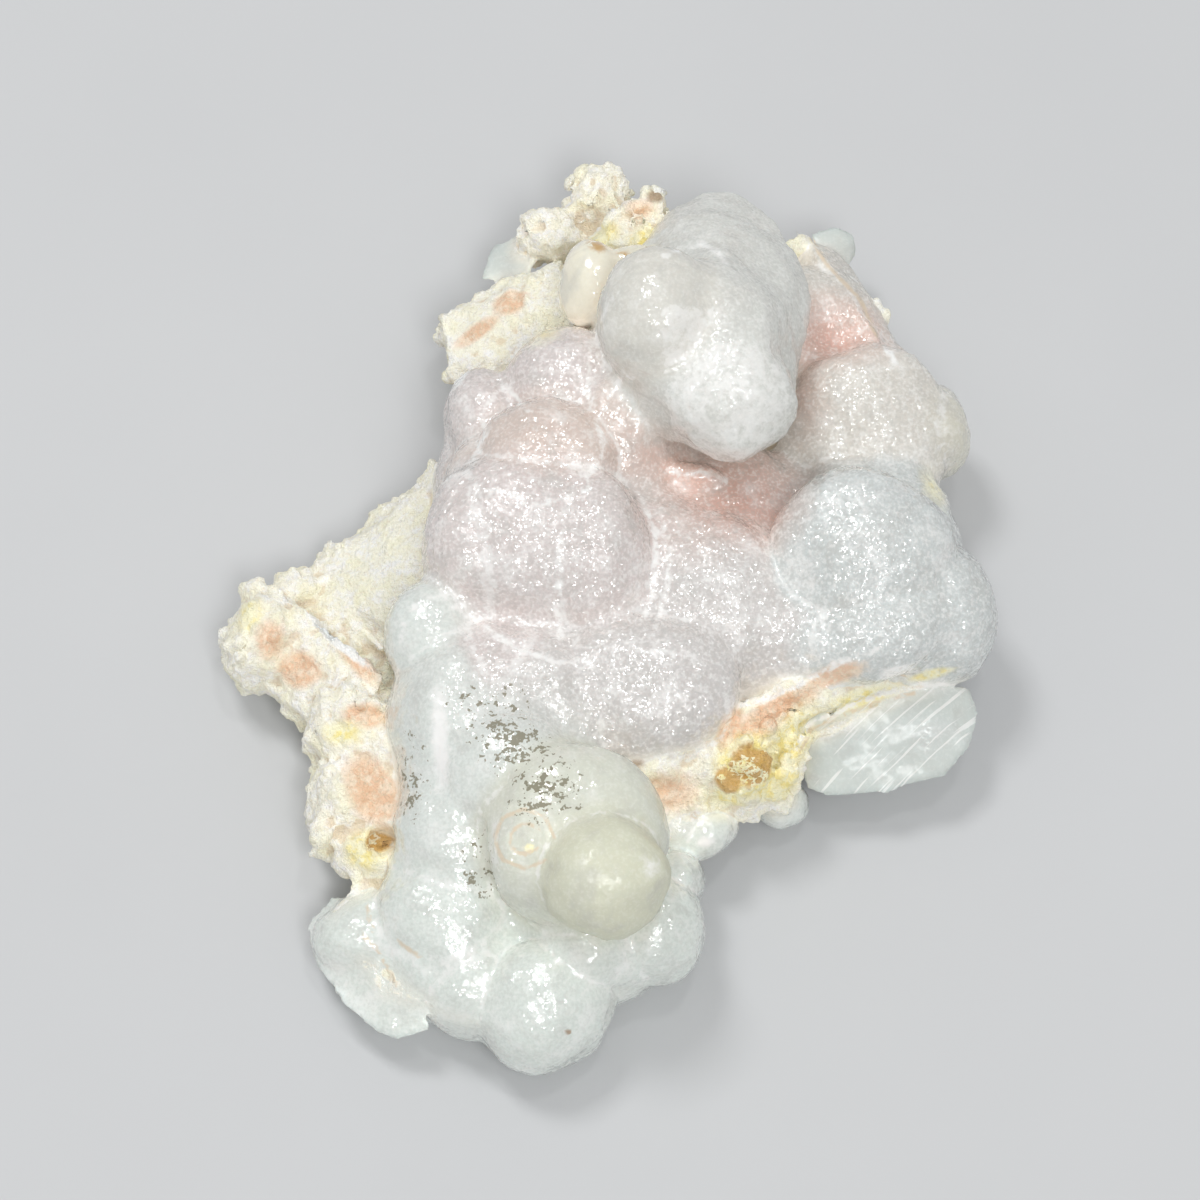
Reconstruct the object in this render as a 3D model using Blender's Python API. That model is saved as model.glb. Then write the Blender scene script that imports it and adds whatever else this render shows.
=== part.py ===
"""A hand specimen of pink botryoidal opal: rounded lobes grown on crumbly matrix, one natural piece.

Metres, +Z up. The stone rests on its broken back, and the origin is at the bottom centre of its box.
"""

import math
import random

import bmesh
import bpy
from mathutils import Matrix, Vector, noise
from mathutils.bvhtree import BVHTree

MM = 0.001

# Driving dimensions. The forms are set out in millimetres as they show from one viewpoint: across to the
# right and up on a plane through AIM that faces the viewer, and their centre's height above the table.
# Before the stone is moved to its place, the table is at z = 0.
VIEW_ELEVATION = math.radians(65)
VIEW_DISTANCE = 300.0
AIM = Vector((0.0, 0.0, 8.0))
BOX_CENTRE = Vector((0.42, 1.0, 0.0))  # where the finished box's middle lies before it is moved to the origin

VOXEL = 0.5  # mm, grain of the solid in which the forms are fused
FLOOR_SMOOTHING, CROWN_SMOOTHING, CRISP_SMOOTHING = 14, 10, 2  # passes
TRIANGLES = 9000  # of the thinned surface, before its base is cut
SWELL = 0.4  # mm, how far the broad unevenness moves the surface
SWELL_LENGTH = 6.0  # mm
CRUMB = 0.45  # mm, roughness of the matrix
CRUMB_LENGTH = 2.2  # mm
CRUMB_OCTAVES = 3
CRUMB_FADE = 1.0  # mm, width over which the matrix's roughness ends at the opal
BACK_CRUMB = 0.5  # roughness of the broken back, as a share of the matrix's

TOWARDS_VIEWER = Vector((0.0, -math.cos(VIEW_ELEVATION), math.sin(VIEW_ELEVATION)))
VIEW_UP = Vector((0.0, math.sin(VIEW_ELEVATION), math.cos(VIEW_ELEVATION)))
VIEW_ACROSS = Vector((1.0, 0.0, 0.0))
EYE = AIM + VIEW_DISTANCE * TOWARDS_VIEWER
VIEW_AXES = Matrix((VIEW_ACROSS, VIEW_UP, TOWARDS_VIEWER)).transposed()

# Blocks of the broken matrix that the lobes grew on: bottom and top above the table, and the corners x, y of
# the outline at WAIST_HEIGHT over the bottom, in mm. The top is wider and the bottom narrower by these
# shares. Four of them reach the table and carry the stone.
BLOCK_TOP = 1.1
BLOCK_BOTTOM = 0.55
WAIST_HEIGHT = 1.8
BLOCKS = {
    "middle_block": (
        0.9, 7.5,
        ((-10, -8), (-3, -13), (6, -13), (13, -7), (15, 3), (11, 13), (1, 16), (-8, 9), (-12, 0)),
    ),
    "right_block": (
        -0.2, 6.0,
        ((10, -7), (17, -6), (22, -2), (23, 5), (20, 14), (13, 18), (8, 10)),
    ),
    "back_block": (
        -0.2, 6.5,
        ((-6, 14), (-7, 20), (-3, 26), (4, 28), (12, 27), (17, 21), (17, 14), (8, 10)),
    ),
    "foot_block": (
        -0.5, 5.0,
        ((-14, -27), (-17, -22), (-13, -15), (-6, -12), (2, -14), (5, -20), (2, -26), (-5, -30)),
    ),
    "left_block": (
        -0.1, 4.5,
        ((-22, -3), (-20, 1), (-13, 8), (-8, 8), (-8, -10), (-14, -14), (-18, -12), (-19, -7)),
    ),
}

# Lobes: (across, up, height), radii (across, up, deep) in the view, and a turn in the view in degrees.
# The broad ones run into each other.
BROAD = {
    "heart": ((1.0, -4.0, 6.6), (13.0, 12.0, 4.8), 0),
    "druse_field": ((7.4, -1.0, 7.2), (8.2, 7.2, 6.2), -20),
    "hollow_floor": ((8.8, 5.0, 6.4), (7.0, 6.4, 4.6), 0),
    "crown_merge": ((1.2, 12.6, 11.4), (4.4, 3.8, 4.6), 0),
    "hollow_left_bank": ((1.8, 9.8, 8.8), (4.6, 4.6, 5.4), 20),
    "left_floor": ((-4.4, 6.0, 6.6), (7.6, 9.4, 6.2), -10),
    "left_edge_floor": ((-7.7, 10.0, 5.0), (3.0, 6.0, 5.4), 0),
    "crown_neck": ((6.0, 17.6, 9.4), (6.6, 7.6, 7.6), 20),
    "wall_floor": ((14.8, 16.6, 6.0), (6.2, 7.6, 4.6), 24),
    "shoulder_floor": ((18.4, 11.4, 5.0), (6.0, 7.2, 4.8), 0),
    "right_floor": ((18.9, 3.4, 6.0), (6.2, 7.6, 5.6), 0),
    "right_apron": ((14.6, -2.4, 7.0), (8.0, 5.0, 5.4), 18),
    "edge_floor": ((22.4, -1.0, 5.0), (4.6, 5.0, 5.0), 0),
    "middle_floor": ((2.6, -6.6, 7.0), (7.0, 5.6, 5.8), 0),
    "middle_saddle": ((-4.6, -7.4, 8.0), (7.4, 5.6, 5.4), 0),
    "ridge": ((-10.4, -9.3, 8.2), (4.2, 7.6, 5.2), -3),
    "ridge_end": ((-10.4, -17.4, 6.2), (4.3, 5.8, 5.0), 8),
    "foot_slope": ((-5.4, -12.6, 8.8), (6.6, 5.0, 5.6), -25),
    "foot_floor": ((-1.6, -17.4, 7.0), (6.0, 6.4, 6.4), 0),
    "front_band": ((-0.2, -24.4, 3.8), (6.4, 4.0, 4.6), 17),
    "front_left_fill": ((-10.4, -24.8, 3.2), (6.4, 4.6, 4.4), 0),
}
# The crisp ones stand out with a crease or an edge round them.
CRISP = {
    "crown_inner_dome": ((4.1, 19.8, 18.6), (4.4, 4.9, 4.2), -12),
    "crown_chin_swell": ((8.8, 14.4, 16.8), (4.8, 4.4, 3.6), 10),
    "small_bubble": ((-0.5, 22.0, 14.4), (2.2, 3.0, 2.6), -10),
    "bubble_link": ((2.2, 23.2, 14.6), (1.8, 1.7, 1.9), 0),
    "upper_dome": ((-2.6, 15.0, 12.2), (4.4, 4.0, 3.6), 10),
    "cap_dome": ((-3.6, 10.2, 13.2), (4.8, 4.0, 3.6), -6),
    "upper_left_lobe": ((-7.8, 12.0, 9.6), (2.8, 4.4, 4.2), 12),
    "cap_side": ((-7.4, 8.4, 11.0), (3.4, 3.0, 3.4), 0),
    "great_dome": ((-4.6, 3.8, 11.4), (7.6, 6.9, 4.6), 0),
    "great_left": ((-8.4, 3.4, 11.4), (4.0, 5.8, 4.0), 0),
    "great_right": ((-0.4, 3.0, 11.8), (4.2, 6.2, 4.2), 8),
    "left_lobe": ((-11.9, -2.2, 9.8), (3.3, 3.7, 3.8), 0),
    "saddle_lobe": ((-6.8, -5.6, 10.0), (4.6, 3.8, 3.4), -25),
    "middle_dome": ((3.4, -6.4, 10.4), (6.4, 5.4, 2.7), 0),
    "shoulder": ((18.4, 11.6, 8.2), (6.2, 6.6, 3.2), 0),
    "shoulder_lobe": ((23.0, 11.7, 6.4), (3.0, 3.5, 3.8), 0),
    "right_dome": ((18.4, 2.4, 10.8), (6.5, 6.9, 4.0), 0),
    "hollow_ridge": ((6.2, 8.7, 11.0), (2.9, 0.9, 1.3), -10),
    "right_dome_skirt": ((18.8, -2.4, 9.6), (6.4, 3.4, 3.4), 14),
    "right_edge_lobe": ((22.8, -1.1, 7.6), (5.0, 5.2, 4.6), 0),
    "foot_dome": ((-1.9, -16.6, 10.4), (6.3, 6.4, 4.8), 0),
    "foot_ball": ((0.3, -18.9, 13.0), (4.6, 4.6, 4.0), 0),
    "eye": ((-5.4, -16.8, 12.0), (2.1, 2.4, 2.2), 0),
    "low_lobe": ((7.2, -16.2, 4.0), (2.3, 1.7, 2.8), 22),
    "seam_foot_lobe": ((12.6, -14.1, 2.8), (2.0, 1.8, 2.1), 0),
    "front_lobe": ((-3.9, -28.4, 4.0), (4.8, 4.6, 4.4), 0),
    "front_right_lobe": ((3.8, -23.0, 4.8), (3.7, 3.9, 4.2), 0),
    "front_right_upper": ((5.3, -19.8, 4.8), (2.0, 2.4, 3.0), 0),
    "front_upper_lobe": ((-1.0, -24.6, 5.6), (3.8, 2.8, 3.4), 20),
    "front_middle_lobe": ((-8.6, -27.2, 3.6), (3.9, 3.5, 3.4), 0),
    "front_left_upper": ((-11.2, -22.2, 5.4), (4.6, 4.6, 3.8), 0),
    "front_left_side": ((-15.8, -23.8, 3.2), (4.2, 3.4, 3.4), 0),
}
# The crumbly ones.
MATRIX = {
    "wing_tip": ((-23.4, -3.1, 4.0), (3.0, 3.9, 3.6), -10),
    "wing_low": ((-17.2, -9.2, 4.8), (3.4, 3.8, 3.8), 0),
    "wing_foot": ((-17.4, -14.2, 4.2), (3.4, 3.8, 3.6), 0),
    "wing_heel": ((-16.2, -17.7, 4.0), (2.7, 2.2, 3.0), 0),
    "top_tangle": ((2.0, 24.9, 8.0), (3.6, 2.8, 4.0), 20),
    "top_peach": ((2.5, 27.2, 8.2), (1.9, 1.2, 1.6), -10),
    "wing_top": ((-21.4, 0.5, 3.4), (2.4, 1.5, 2.6), 18),
    "top_stem": ((-0.1, 27.4, 6.6), (2.0, 2.6, 2.4), 0),
    "top_knuckle": ((-3.4, 25.2, 6.6), (2.6, 2.0, 2.2), 0),
}

# The crown's shield is the hull of these corners: (across, up, height).
CROWN_RIM = (
    (4.4, 27.0, 12.6), (7.2, 28.7, 12.0), (9.8, 28.5, 12.0), (12.6, 26.8, 12.2), (14.4, 24.0, 13.0),
    (14.8, 20.6, 13.6), (14.3, 17.2, 14.0), (13.7, 13.8, 14.4), (12.6, 10.9, 14.4), (10.2, 9.3, 14.4),
    (7.4, 9.5, 14.2), (3.8, 11.2, 13.8), (1.0, 13.4, 13.4), (-0.7, 16.4, 13.4), (-0.7, 19.4, 13.8),
    (1.4, 23.6, 13.4),
)
CROWN_FACE = (
    (3.2, 21.6, 21.8), (8.0, 22.6, 21.4), (11.4, 20.0, 20.4), (11.4, 15.6, 20.0), (8.4, 13.0, 20.0),
    (4.0, 15.0, 20.2), (9.0, 25.6, 18.4),
)
CROWN_BACK = ((6.0, 20.0, 5.0), (10.0, 19.0, 6.0))

# Angular pieces are hulls of their corners as well. These are glassy,
GLASSY_CHIPS = {
    "front_left_block": (
        (-20.4, -22.8, 3.2), (-18.6, -20.6, 3.8), (-15.0, -20.4, 6.2), (-12.4, -24.6, 6.8), (-11.8, -30.4, 4.0),
        (-14.4, -30.8, 3.0), (-18.0, -28.8, 3.0), (-20.0, -25.4, 3.0), (-15.6, -24.0, 6.4), (-17.0, -25.0, 0.8),
        (-13.6, -28.0, 0.8),
    ),
    "lower_slab": (
        (13.8, -9.6, 5.6), (15.2, -8.4, 6.6), (18.7, -7.2, 7.2), (22.2, -6.3, 7.2), (25.9, -6.1, 5.8),
        (26.4, -8.0, 5.2), (25.6, -10.4, 4.8), (24.1, -12.6, 4.2), (20.4, -13.6, 4.0), (16.0, -13.5, 4.0),
        (14.4, -13.0, 4.0), (13.7, -11.2, 4.8), (16.4, -11.4, 1.8), (24.0, -9.4, 2.2), (22.0, -6.4, 2.0),
    ),
    "clear_chip": (
        (-8.5, 22.4, 5.6), (-7.9, 24.6, 5.2), (-5.6, 25.7, 5.6), (-4.2, 24.0, 7.2), (-5.4, 22.2, 7.2),
        (-5.6, 22.6, 2.4),
    ),
    "pale_chip": (
        (14.6, 25.8, 6.6), (16.2, 26.3, 6.0), (17.8, 25.6, 5.8), (17.7, 24.0, 5.6), (16.8, 23.4, 6.4),
        (14.8, 23.6, 5.6), (16.4, 24.4, 4.2),
    ),
    "back_wall": (
        (13.8, 26.2, 8.4), (15.4, 24.6, 10.2), (18.8, 19.4, 10.4), (21.4, 15.2, 9.6), (22.0, 15.6, 7.6),
        (19.4, 20.0, 6.8), (16.2, 24.2, 6.4), (13.8, 21.6, 7.6), (16.0, 15.6, 8.0), (17.6, 19.4, 2.5),
        (14.6, 22.4, 2.5), (20.4, 15.0, 2.5),
    ),
}
# and these are crumbly.
MATRIX_CHIPS = {
    "wing_ridge": (
        (-24.3, 1.2, 5.4), (-23.0, 1.2, 6.4), (-20.9, -0.6, 7.6), (-17.9, -2.8, 8.4), (-15.0, -5.6, 8.4),
        (-15.6, -7.8, 7.4), (-20.8, -9.2, 3.0), (-20.6, -8.2, 5.6), (-25.0, -5.6, 3.6), (-26.5, -2.8, 3.4),
        (-24.4, 0.2, 2.2), (-16.5, -5.5, 1.5), (-22.0, -7.4, 1.2),
    ),
    "wing_slope": (
        (-21.4, 1.0, 3.4), (-19.6, 1.6, 3.2), (-15.6, 4.8, 3.2), (-11.4, 9.8, 3.4), (-10.6, 9.2, 8.0),
        (-11.6, 3.0, 8.4), (-13.6, -1.6, 7.6), (-14.6, -4.6, 5.8), (-18.6, -1.2, 5.0), (-19.4, 0.4, 1.0),
        (-12.4, 7.6, 1.0), (-12.5, 1.0, 0.5),
    ),
    "wing_facet": (
        (-18.6, -10.9, 6.8), (-15.8, -9.8, 8.0), (-13.0, -16.4, 7.4), (-17.4, -17.2, 5.6), (-20.4, -14.6, 4.4),
        (-20.8, -13.2, 3.0), (-19.2, -10.6, 3.0), (-17.0, -18.4, 1.5), (-13.4, -15.5, 1.5),
    ),
    "upper_left_bank": (
        (-11.5, 20.3, 8.2), (-10.6, 15.2, 7.4), (-9.0, 14.2, 7.0), (-7.8, 22.4, 7.4), (-3.0, 23.4, 9.0),
        (-1.4, 20.6, 10.0), (-2.0, 17.6, 9.6), (-6.0, 17.0, 8.4), (-11.0, 18.6, 3.6), (-6.6, 21.2, 2.0),
        (-2.0, 22.0, 2.5),
    ),
    "seam_block": (
        (7.4, -11.2, 9.0), (9.0, -7.4, 9.8), (14.2, -8.2, 8.2), (14.4, -13.0, 5.6), (13.2, -15.0, 4.4),
        (9.6, -15.4, 4.6), (7.4, -15.8, 5.0), (7.0, -13.4, 7.8), (10.5, -12.0, 1.0),
    ),
    "seam_left": (
        (1.6, -11.4, 9.4), (5.4, -11.0, 9.6), (7.6, -12.2, 8.4), (7.8, -15.4, 5.8), (4.8, -16.6, 6.0),
        (2.6, -14.4, 7.4), (5.6, -14.0, 1.0),
    ),
    "seam_ledge": (
        (9.2, -7.6, 9.6), (13.8, -5.8, 9.8), (17.4, -3.9, 9.6), (22.6, -3.4, 8.2), (25.4, -5.0, 6.6),
        (22.0, -5.9, 7.4), (18.2, -6.6, 7.6), (15.0, -8.4, 7.2), (13.8, -10.2, 6.4), (14.0, -8.0, 1.5),
        (21.0, -5.0, 2.0),
    ),
}

# Clusters of small knobs: the lobe that they stand on, as above, a knob's radius in mm, and how many. Each
# knob's size varies within these shares, and none stands lower on its lobe than LOWEST_KNOB of its radius.
KNOB_SIZES = (0.7, 1.2)
LOWEST_KNOB = -0.3
KNOBS = {
    "spur": ((-0.2, 28.7, 7.0), (1.8, 1.9, 1.6), 0, 0.75, 22),
    "knuckle": ((-3.8, 25.9, 7.2), (1.7, 1.4, 1.4), 0, 0.65, 16),
    "yellow_knobs": ((2.6, 25.8, 10.0), (2.6, 2.2, 2.0), 15, 0.75, 18),
    "brown_knob": ((3.9, 28.1, 8.0), (0.5, 0.5, 0.5), 0, 0.6, 4),
    "wall_tip": ((13.9, 25.0, 8.4), (0.5, 0.7, 0.6), 0, 0.7, 5),
    "wing_nub": ((-24.0, 0.7, 4.8), (0.6, 0.6, 0.6), 0, 0.8, 4),
    "amber_grains": ((10.0, -12.0, 7.4), (1.8, 1.4, 1.2), 40, 0.7, 12),
    "seam_knobs": ((13.2, -11.2, 5.8), (1.4, 2.6, 2.2), -20, 0.7, 14),
    "edge_beads": ((22.3, 7.2, 5.4), (0.8, 2.0, 1.2), 10, 0.7, 10),
    "wall_bead": ((19.4, 20.2, 7.0), (0.5, 0.8, 0.6), 35, 0.5, 4),
    "wing_crumbs": ((-18.2, -9.4, 5.2), (2.2, 3.0, 2.4), -25, 0.8, 12),
    "facet_crumbs": ((-17.4, -16.2, 4.6), (2.6, 2.4, 2.6), 0, 0.8, 10),
}

# Hollows pressed into the surface, as lobes above, and how deep in mm.
HOLLOWS = {
    "wing_recess": ((-17.0, -2.2, 7.4), (1.5, 4.4, 3.4), 46, 1.4),
    "bank_hollow": ((-6.6, 19.0, 9.6), (3.0, 2.2, 3.4), 30, 0.8),
    "wall_hollow": ((16.2, 18.6, 10.2), (2.8, 4.4, 3.6), 25, 1.2),
    "slab_gap": ((16.6, -8.2, 7.4), (5.4, 0.9, 2.8), 20, 1.2),
    "wing_pocket": ((-15.4, -17.0, 6.6), (1.6, 1.4, 2.6), 0, 1.4),
    "foot_groove": ((-7.6, -17.6, 9.0), (1.0, 4.2, 3.4), 5, 1.0),
}

OPAL_COLOUR = (0.80, 0.74, 0.71, 1.0)
OPAL_ROUGHNESS = 0.4


def seen_at(across, up, height):
    """The point at that height above the table which shows at (across, up) in the view, in mm."""
    on_plane = AIM + across * VIEW_ACROSS + up * VIEW_UP
    share = (height - EYE.z) / (on_plane.z - EYE.z)
    return EYE + share * (on_plane - EYE)


def lobe_placement(place, radii, turn):
    spin = Matrix.Rotation(math.radians(turn), 3, "Z")
    axes = VIEW_AXES @ spin @ Matrix.Diagonal(Vector(radii))
    return Matrix.Translation(seen_at(*place)) @ axes.to_4x4()


def add_ball(forms, placement):
    """Adds the unit ball, carried and stretched by placement."""
    bmesh.ops.create_icosphere(forms, subdivisions=4, radius=1.0, matrix=placement)


def add_lobes(forms, lobes):
    for lobe in lobes.values():
        add_ball(forms, lobe_placement(*lobe))


def add_hull(forms, corners):
    """Adds the hull of the corners."""
    verts = [forms.verts.new(corner) for corner in corners]
    hull = bmesh.ops.convex_hull(forms, input=verts)
    spare = set(hull["geom_interior"]) | set(hull["geom_unused"])
    bmesh.ops.delete(forms, geom=[v for v in verts if v in spare], context="VERTS")


def add_block(forms, bottom, top, ring):
    middle = sum((Vector(corner) for corner in ring), Vector((0.0, 0.0))) / len(ring)
    corners = []
    for share, height in ((BLOCK_BOTTOM, bottom), (1.0, bottom + WAIST_HEIGHT), (BLOCK_TOP, top)):
        for corner in ring:
            corners.append((middle + share * (Vector(corner) - middle)).to_3d() + Vector((0.0, 0.0, height)))
    add_hull(forms, corners)


def add_seen_hull(forms, corners):
    add_hull(forms, [seen_at(*corner) for corner in corners])


def add_knobs(forms, name, place, radii, turn, knob_radius, count):
    """Adds small balls over the side of a lobe that faces up and outwards."""
    chance = random.Random(name)
    placement = lobe_placement(place, radii, turn)
    for _ in range(count):
        side = Vector((chance.uniform(-1, 1), chance.uniform(-1, 1), chance.uniform(LOWEST_KNOB, 1)))
        direction = side.normalized()
        size = knob_radius * chance.uniform(*KNOB_SIZES)
        add_ball(forms, Matrix.Translation(placement @ direction) @ Matrix.Scale(size, 4))


def floor_forms():
    forms = bmesh.new()
    add_lobes(forms, BROAD)
    return forms


def crown_forms():
    forms = bmesh.new()
    add_seen_hull(forms, CROWN_RIM + CROWN_FACE + CROWN_BACK)
    return forms


def opal_forms():
    """The rounded and glassy forms: the fused floor and crown, and what stands on them."""
    forms = bmesh.new()
    forms.from_mesh(fused(floor_forms(), FLOOR_SMOOTHING))
    forms.from_mesh(fused(crown_forms(), CROWN_SMOOTHING))
    add_lobes(forms, CRISP)
    for corners in GLASSY_CHIPS.values():
        add_seen_hull(forms, corners)
    return forms


def matrix_forms():
    """The crumbly forms."""
    forms = bmesh.new()
    for block in BLOCKS.values():
        add_block(forms, *block)
    add_lobes(forms, MATRIX)
    for corners in MATRIX_CHIPS.values():
        add_seen_hull(forms, corners)
    for name, cluster in KNOBS.items():
        add_knobs(forms, name, *cluster)
    return forms


def evaluated_mesh(guide):
    """The mesh that a helper object's modifiers make. The helper is removed."""
    graph = bpy.context.evaluated_depsgraph_get()
    mesh = bpy.data.meshes.new_from_object(guide.evaluated_get(graph))
    bpy.data.objects.remove(guide)
    return mesh


def mesh_of(body, name):
    mesh = bpy.data.meshes.new(name)
    body.to_mesh(mesh)
    body.free()
    return mesh


def helper(mesh):
    guide = bpy.data.objects.new("helper", mesh)
    bpy.context.scene.collection.objects.link(guide)
    return guide


def fused(forms, smoothing):
    """One closed mesh, in mm, of the closed forms, with its creases softened."""
    guide = helper(mesh_of(forms, "forms"))
    remesh = guide.modifiers.new("fuse", "REMESH")
    remesh.mode = "VOXEL"
    remesh.voxel_size = VOXEL
    smooth = guide.modifiers.new("soften creases", "SMOOTH")
    smooth.iterations = smoothing
    return evaluated_mesh(guide)


def keep_outer_shell(body):
    """Removes the closed pockets that are left between the forms."""
    unseen = set(body.verts)
    shells = []
    while unseen:
        shell = {unseen.pop()}
        edge = set(shell)
        while edge:
            edge = {e.other_vert(v) for v in edge for e in v.link_edges} & unseen
            unseen -= edge
            shell |= edge
        shells.append(shell)
    outer = max(shells, key=len)
    bmesh.ops.delete(body, geom=[v for v in body.verts if v not in outer], context="VERTS")


def press_hollows(body):
    """Pushes the surface in at each hollow, most at its centre and not at all past its radii."""
    body.normal_update()
    for place, radii, turn, depth in HOLLOWS.values():
        centre = seen_at(*place)
        reach = max(radii)
        inverse = lobe_placement(place, radii, turn).inverted()
        for vert in body.verts:
            if (vert.co - centre).length > reach:
                continue
            distance = (inverse @ vert.co).length
            if distance < 1.0:
                vert.co -= vert.normal * depth * (1.0 - distance**2) ** 2


def crumbliness(vert, opal, matrix):
    """1 on the matrix, fading to 0 on the opal. The broken back is rough as well."""
    nearer_by = opal.find_nearest(vert.co)[3] - matrix.find_nearest(vert.co)[3]
    on_matrix = max(0.0, min(1.0, 0.5 + nearer_by / CRUMB_FADE))
    underneath = max(0.0, -vert.normal.z)
    return max(on_matrix, BACK_CRUMB * underneath)


def roughen(body, opal, matrix):
    """Makes the lobes a little uneven, and the matrix and the broken back crumbly."""
    body.normal_update()
    moves = []
    for vert in body.verts:
        swell = SWELL * noise.noise(vert.co / SWELL_LENGTH)
        grain = noise.fractal(vert.co / CRUMB_LENGTH, 1.0, 2.0, CRUMB_OCTAVES)
        crumb = CRUMB * crumbliness(vert, opal, matrix) * grain
        moves.append(vert.normal * (swell + crumb))
    for vert, move in zip(body.verts, moves):
        vert.co += move


def thinned(mesh, triangles):
    """The mesh with at most that many triangles."""
    guide = helper(mesh)
    mesh.calc_loop_triangles()
    thin = guide.modifiers.new("thin", "DECIMATE")
    thin.ratio = triangles / len(mesh.loop_triangles)
    thin.use_collapse_triangulate = True
    return evaluated_mesh(guide)


def flatten_base(body):
    """Cuts the stone off where it meets the table, so that it rests on flat worn patches."""
    geometry = body.verts[:] + body.edges[:] + body.faces[:]
    cut = bmesh.ops.bisect_plane(body, geom=geometry, plane_co=(0, 0, 0), plane_no=(0, 0, -1), clear_outer=True)
    rim = [e for e in cut["geom_cut"] if isinstance(e, bmesh.types.BMEdge)]
    bmesh.ops.triangle_fill(body, edges=rim, use_beauty=True, normal=(0, 0, -1))
    bmesh.ops.triangulate(body, faces=[f for f in body.faces if len(f.verts) > 3])
    bmesh.ops.recalc_face_normals(body, faces=body.faces)


def opal_material():
    material = bpy.data.materials.new("opal")
    material.use_nodes = True
    shader = material.node_tree.nodes["Principled BSDF"]
    shader.inputs["Base Color"].default_value = OPAL_COLOUR
    shader.inputs["Roughness"].default_value = OPAL_ROUGHNESS
    shader.inputs["Metallic"].default_value = 0.0
    return material


def rough_stone():
    """The whole stone in mm at the voxels' grain."""
    forms = opal_forms()
    matrix = matrix_forms()
    opal_tree = BVHTree.FromBMesh(forms)
    matrix_tree = BVHTree.FromBMesh(matrix)
    forms.from_mesh(mesh_of(matrix, "matrix"))
    body = bmesh.new()
    body.from_mesh(fused(forms, CRISP_SMOOTHING))
    keep_outer_shell(body)
    press_hollows(body)
    roughen(body, opal_tree, matrix_tree)
    return mesh_of(body, "rough")


def make_stone():
    body = bmesh.new()
    body.from_mesh(thinned(rough_stone(), TRIANGLES))
    flatten_base(body)
    bmesh.ops.transform(body, matrix=Matrix.Scale(MM, 4) @ Matrix.Translation(-BOX_CENTRE), verts=body.verts)
    mesh = mesh_of(body, "pink_opal")
    mesh.shade_smooth()
    mesh.materials.append(opal_material())
    stone = bpy.data.objects.new("pink_opal", mesh)
    bpy.context.scene.collection.objects.link(stone)


def main():
    for obj in list(bpy.data.objects):
        bpy.data.objects.remove(obj)
    make_stone()


if __name__ == "__main__":
    main()
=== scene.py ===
"""The looks of the pink opal: the stone's fine surface, its opal and matrix, and a plain studio."""

import math
import random

import bmesh
import bpy
import numpy as np
from mathutils import Matrix, Vector, noise
from mathutils.bvhtree import BVHTree


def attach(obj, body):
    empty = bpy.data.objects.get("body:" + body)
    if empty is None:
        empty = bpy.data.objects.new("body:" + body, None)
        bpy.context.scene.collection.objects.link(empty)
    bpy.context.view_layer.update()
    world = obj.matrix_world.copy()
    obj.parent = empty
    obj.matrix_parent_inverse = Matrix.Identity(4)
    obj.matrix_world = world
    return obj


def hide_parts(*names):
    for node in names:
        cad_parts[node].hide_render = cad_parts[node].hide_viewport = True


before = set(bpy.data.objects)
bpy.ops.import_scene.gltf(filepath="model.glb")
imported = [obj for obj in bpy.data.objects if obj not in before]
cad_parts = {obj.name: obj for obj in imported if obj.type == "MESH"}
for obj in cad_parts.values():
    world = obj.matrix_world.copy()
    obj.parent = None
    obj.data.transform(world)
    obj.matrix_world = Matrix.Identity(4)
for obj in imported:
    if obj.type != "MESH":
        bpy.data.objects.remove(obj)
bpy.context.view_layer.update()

MM = 0.001
TINY = 1e-6  # keeps a division from failing
STONE = "pink_opal"

# The viewpoint that the forms are set out from, in mm: across to the right and up on a plane through AIM
# that faces the viewer, and a centre's height above the table.
VIEW_ELEVATION = math.radians(65)
VIEW_DISTANCE = 300.0
VIEW_WIDTH = 84.0
AIM = Vector((0.0, 0.0, 8.0))
BOX_CENTRE = Vector((0.42, 1.0, 0.0))  # where the box's middle lies in the set-out
TOWARDS_VIEWER = Vector((0.0, -math.cos(VIEW_ELEVATION), math.sin(VIEW_ELEVATION)))
VIEW_UP = Vector((0.0, math.sin(VIEW_ELEVATION), math.cos(VIEW_ELEVATION)))
VIEW_ACROSS = Vector((1.0, 0.0, 0.0))
EYE = AIM + VIEW_DISTANCE * TOWARDS_VIEWER
VIEW_AXES = Matrix((VIEW_ACROSS, VIEW_UP, TOWARDS_VIEWER)).transposed()

FLOOR_VOXEL = 0.5  # mm, grain of the broad floor and the crown before they join the rest
FLOOR_SMOOTHING, CROWN_SMOOTHING = 14, 10  # passes
SOFT_VOXEL, SOFT_SMOOTHING = 0.4, 5  # for the lobes that run softly into the floor
FINE_VOXEL = 0.21  # mm
FINE_SMOOTHING = 4
TRIANGLES = 192000
SWELL, SWELL_LENGTH = 0.4, 6.0  # mm, broad unevenness
CRUMB, CRUMB_LENGTH = 0.45, 2.2  # mm, roughness of the matrix
CRUMB_FADE = 1.0  # mm, width over which the matrix's roughness ends at the opal
BACK_CRUMB = 0.5  # roughness of the broken back, as a share of the matrix's
FINE_CRUMB, FINE_CRUMB_LENGTH = 0.24, 0.65  # mm
RIPPLES = ((0.10, 3.1), (0.06, 1.5), (0.03, 0.7))  # depths and lengths of the opal's soft knobbles, in mm
WARP, WARP_LENGTH = 0.4, 4.6  # mm, how the lobes stray from round
WARP_SHIFTS = (100.0, 200.0, 300.0)  # mm, far enough apart that the three ways stray on their own

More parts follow.
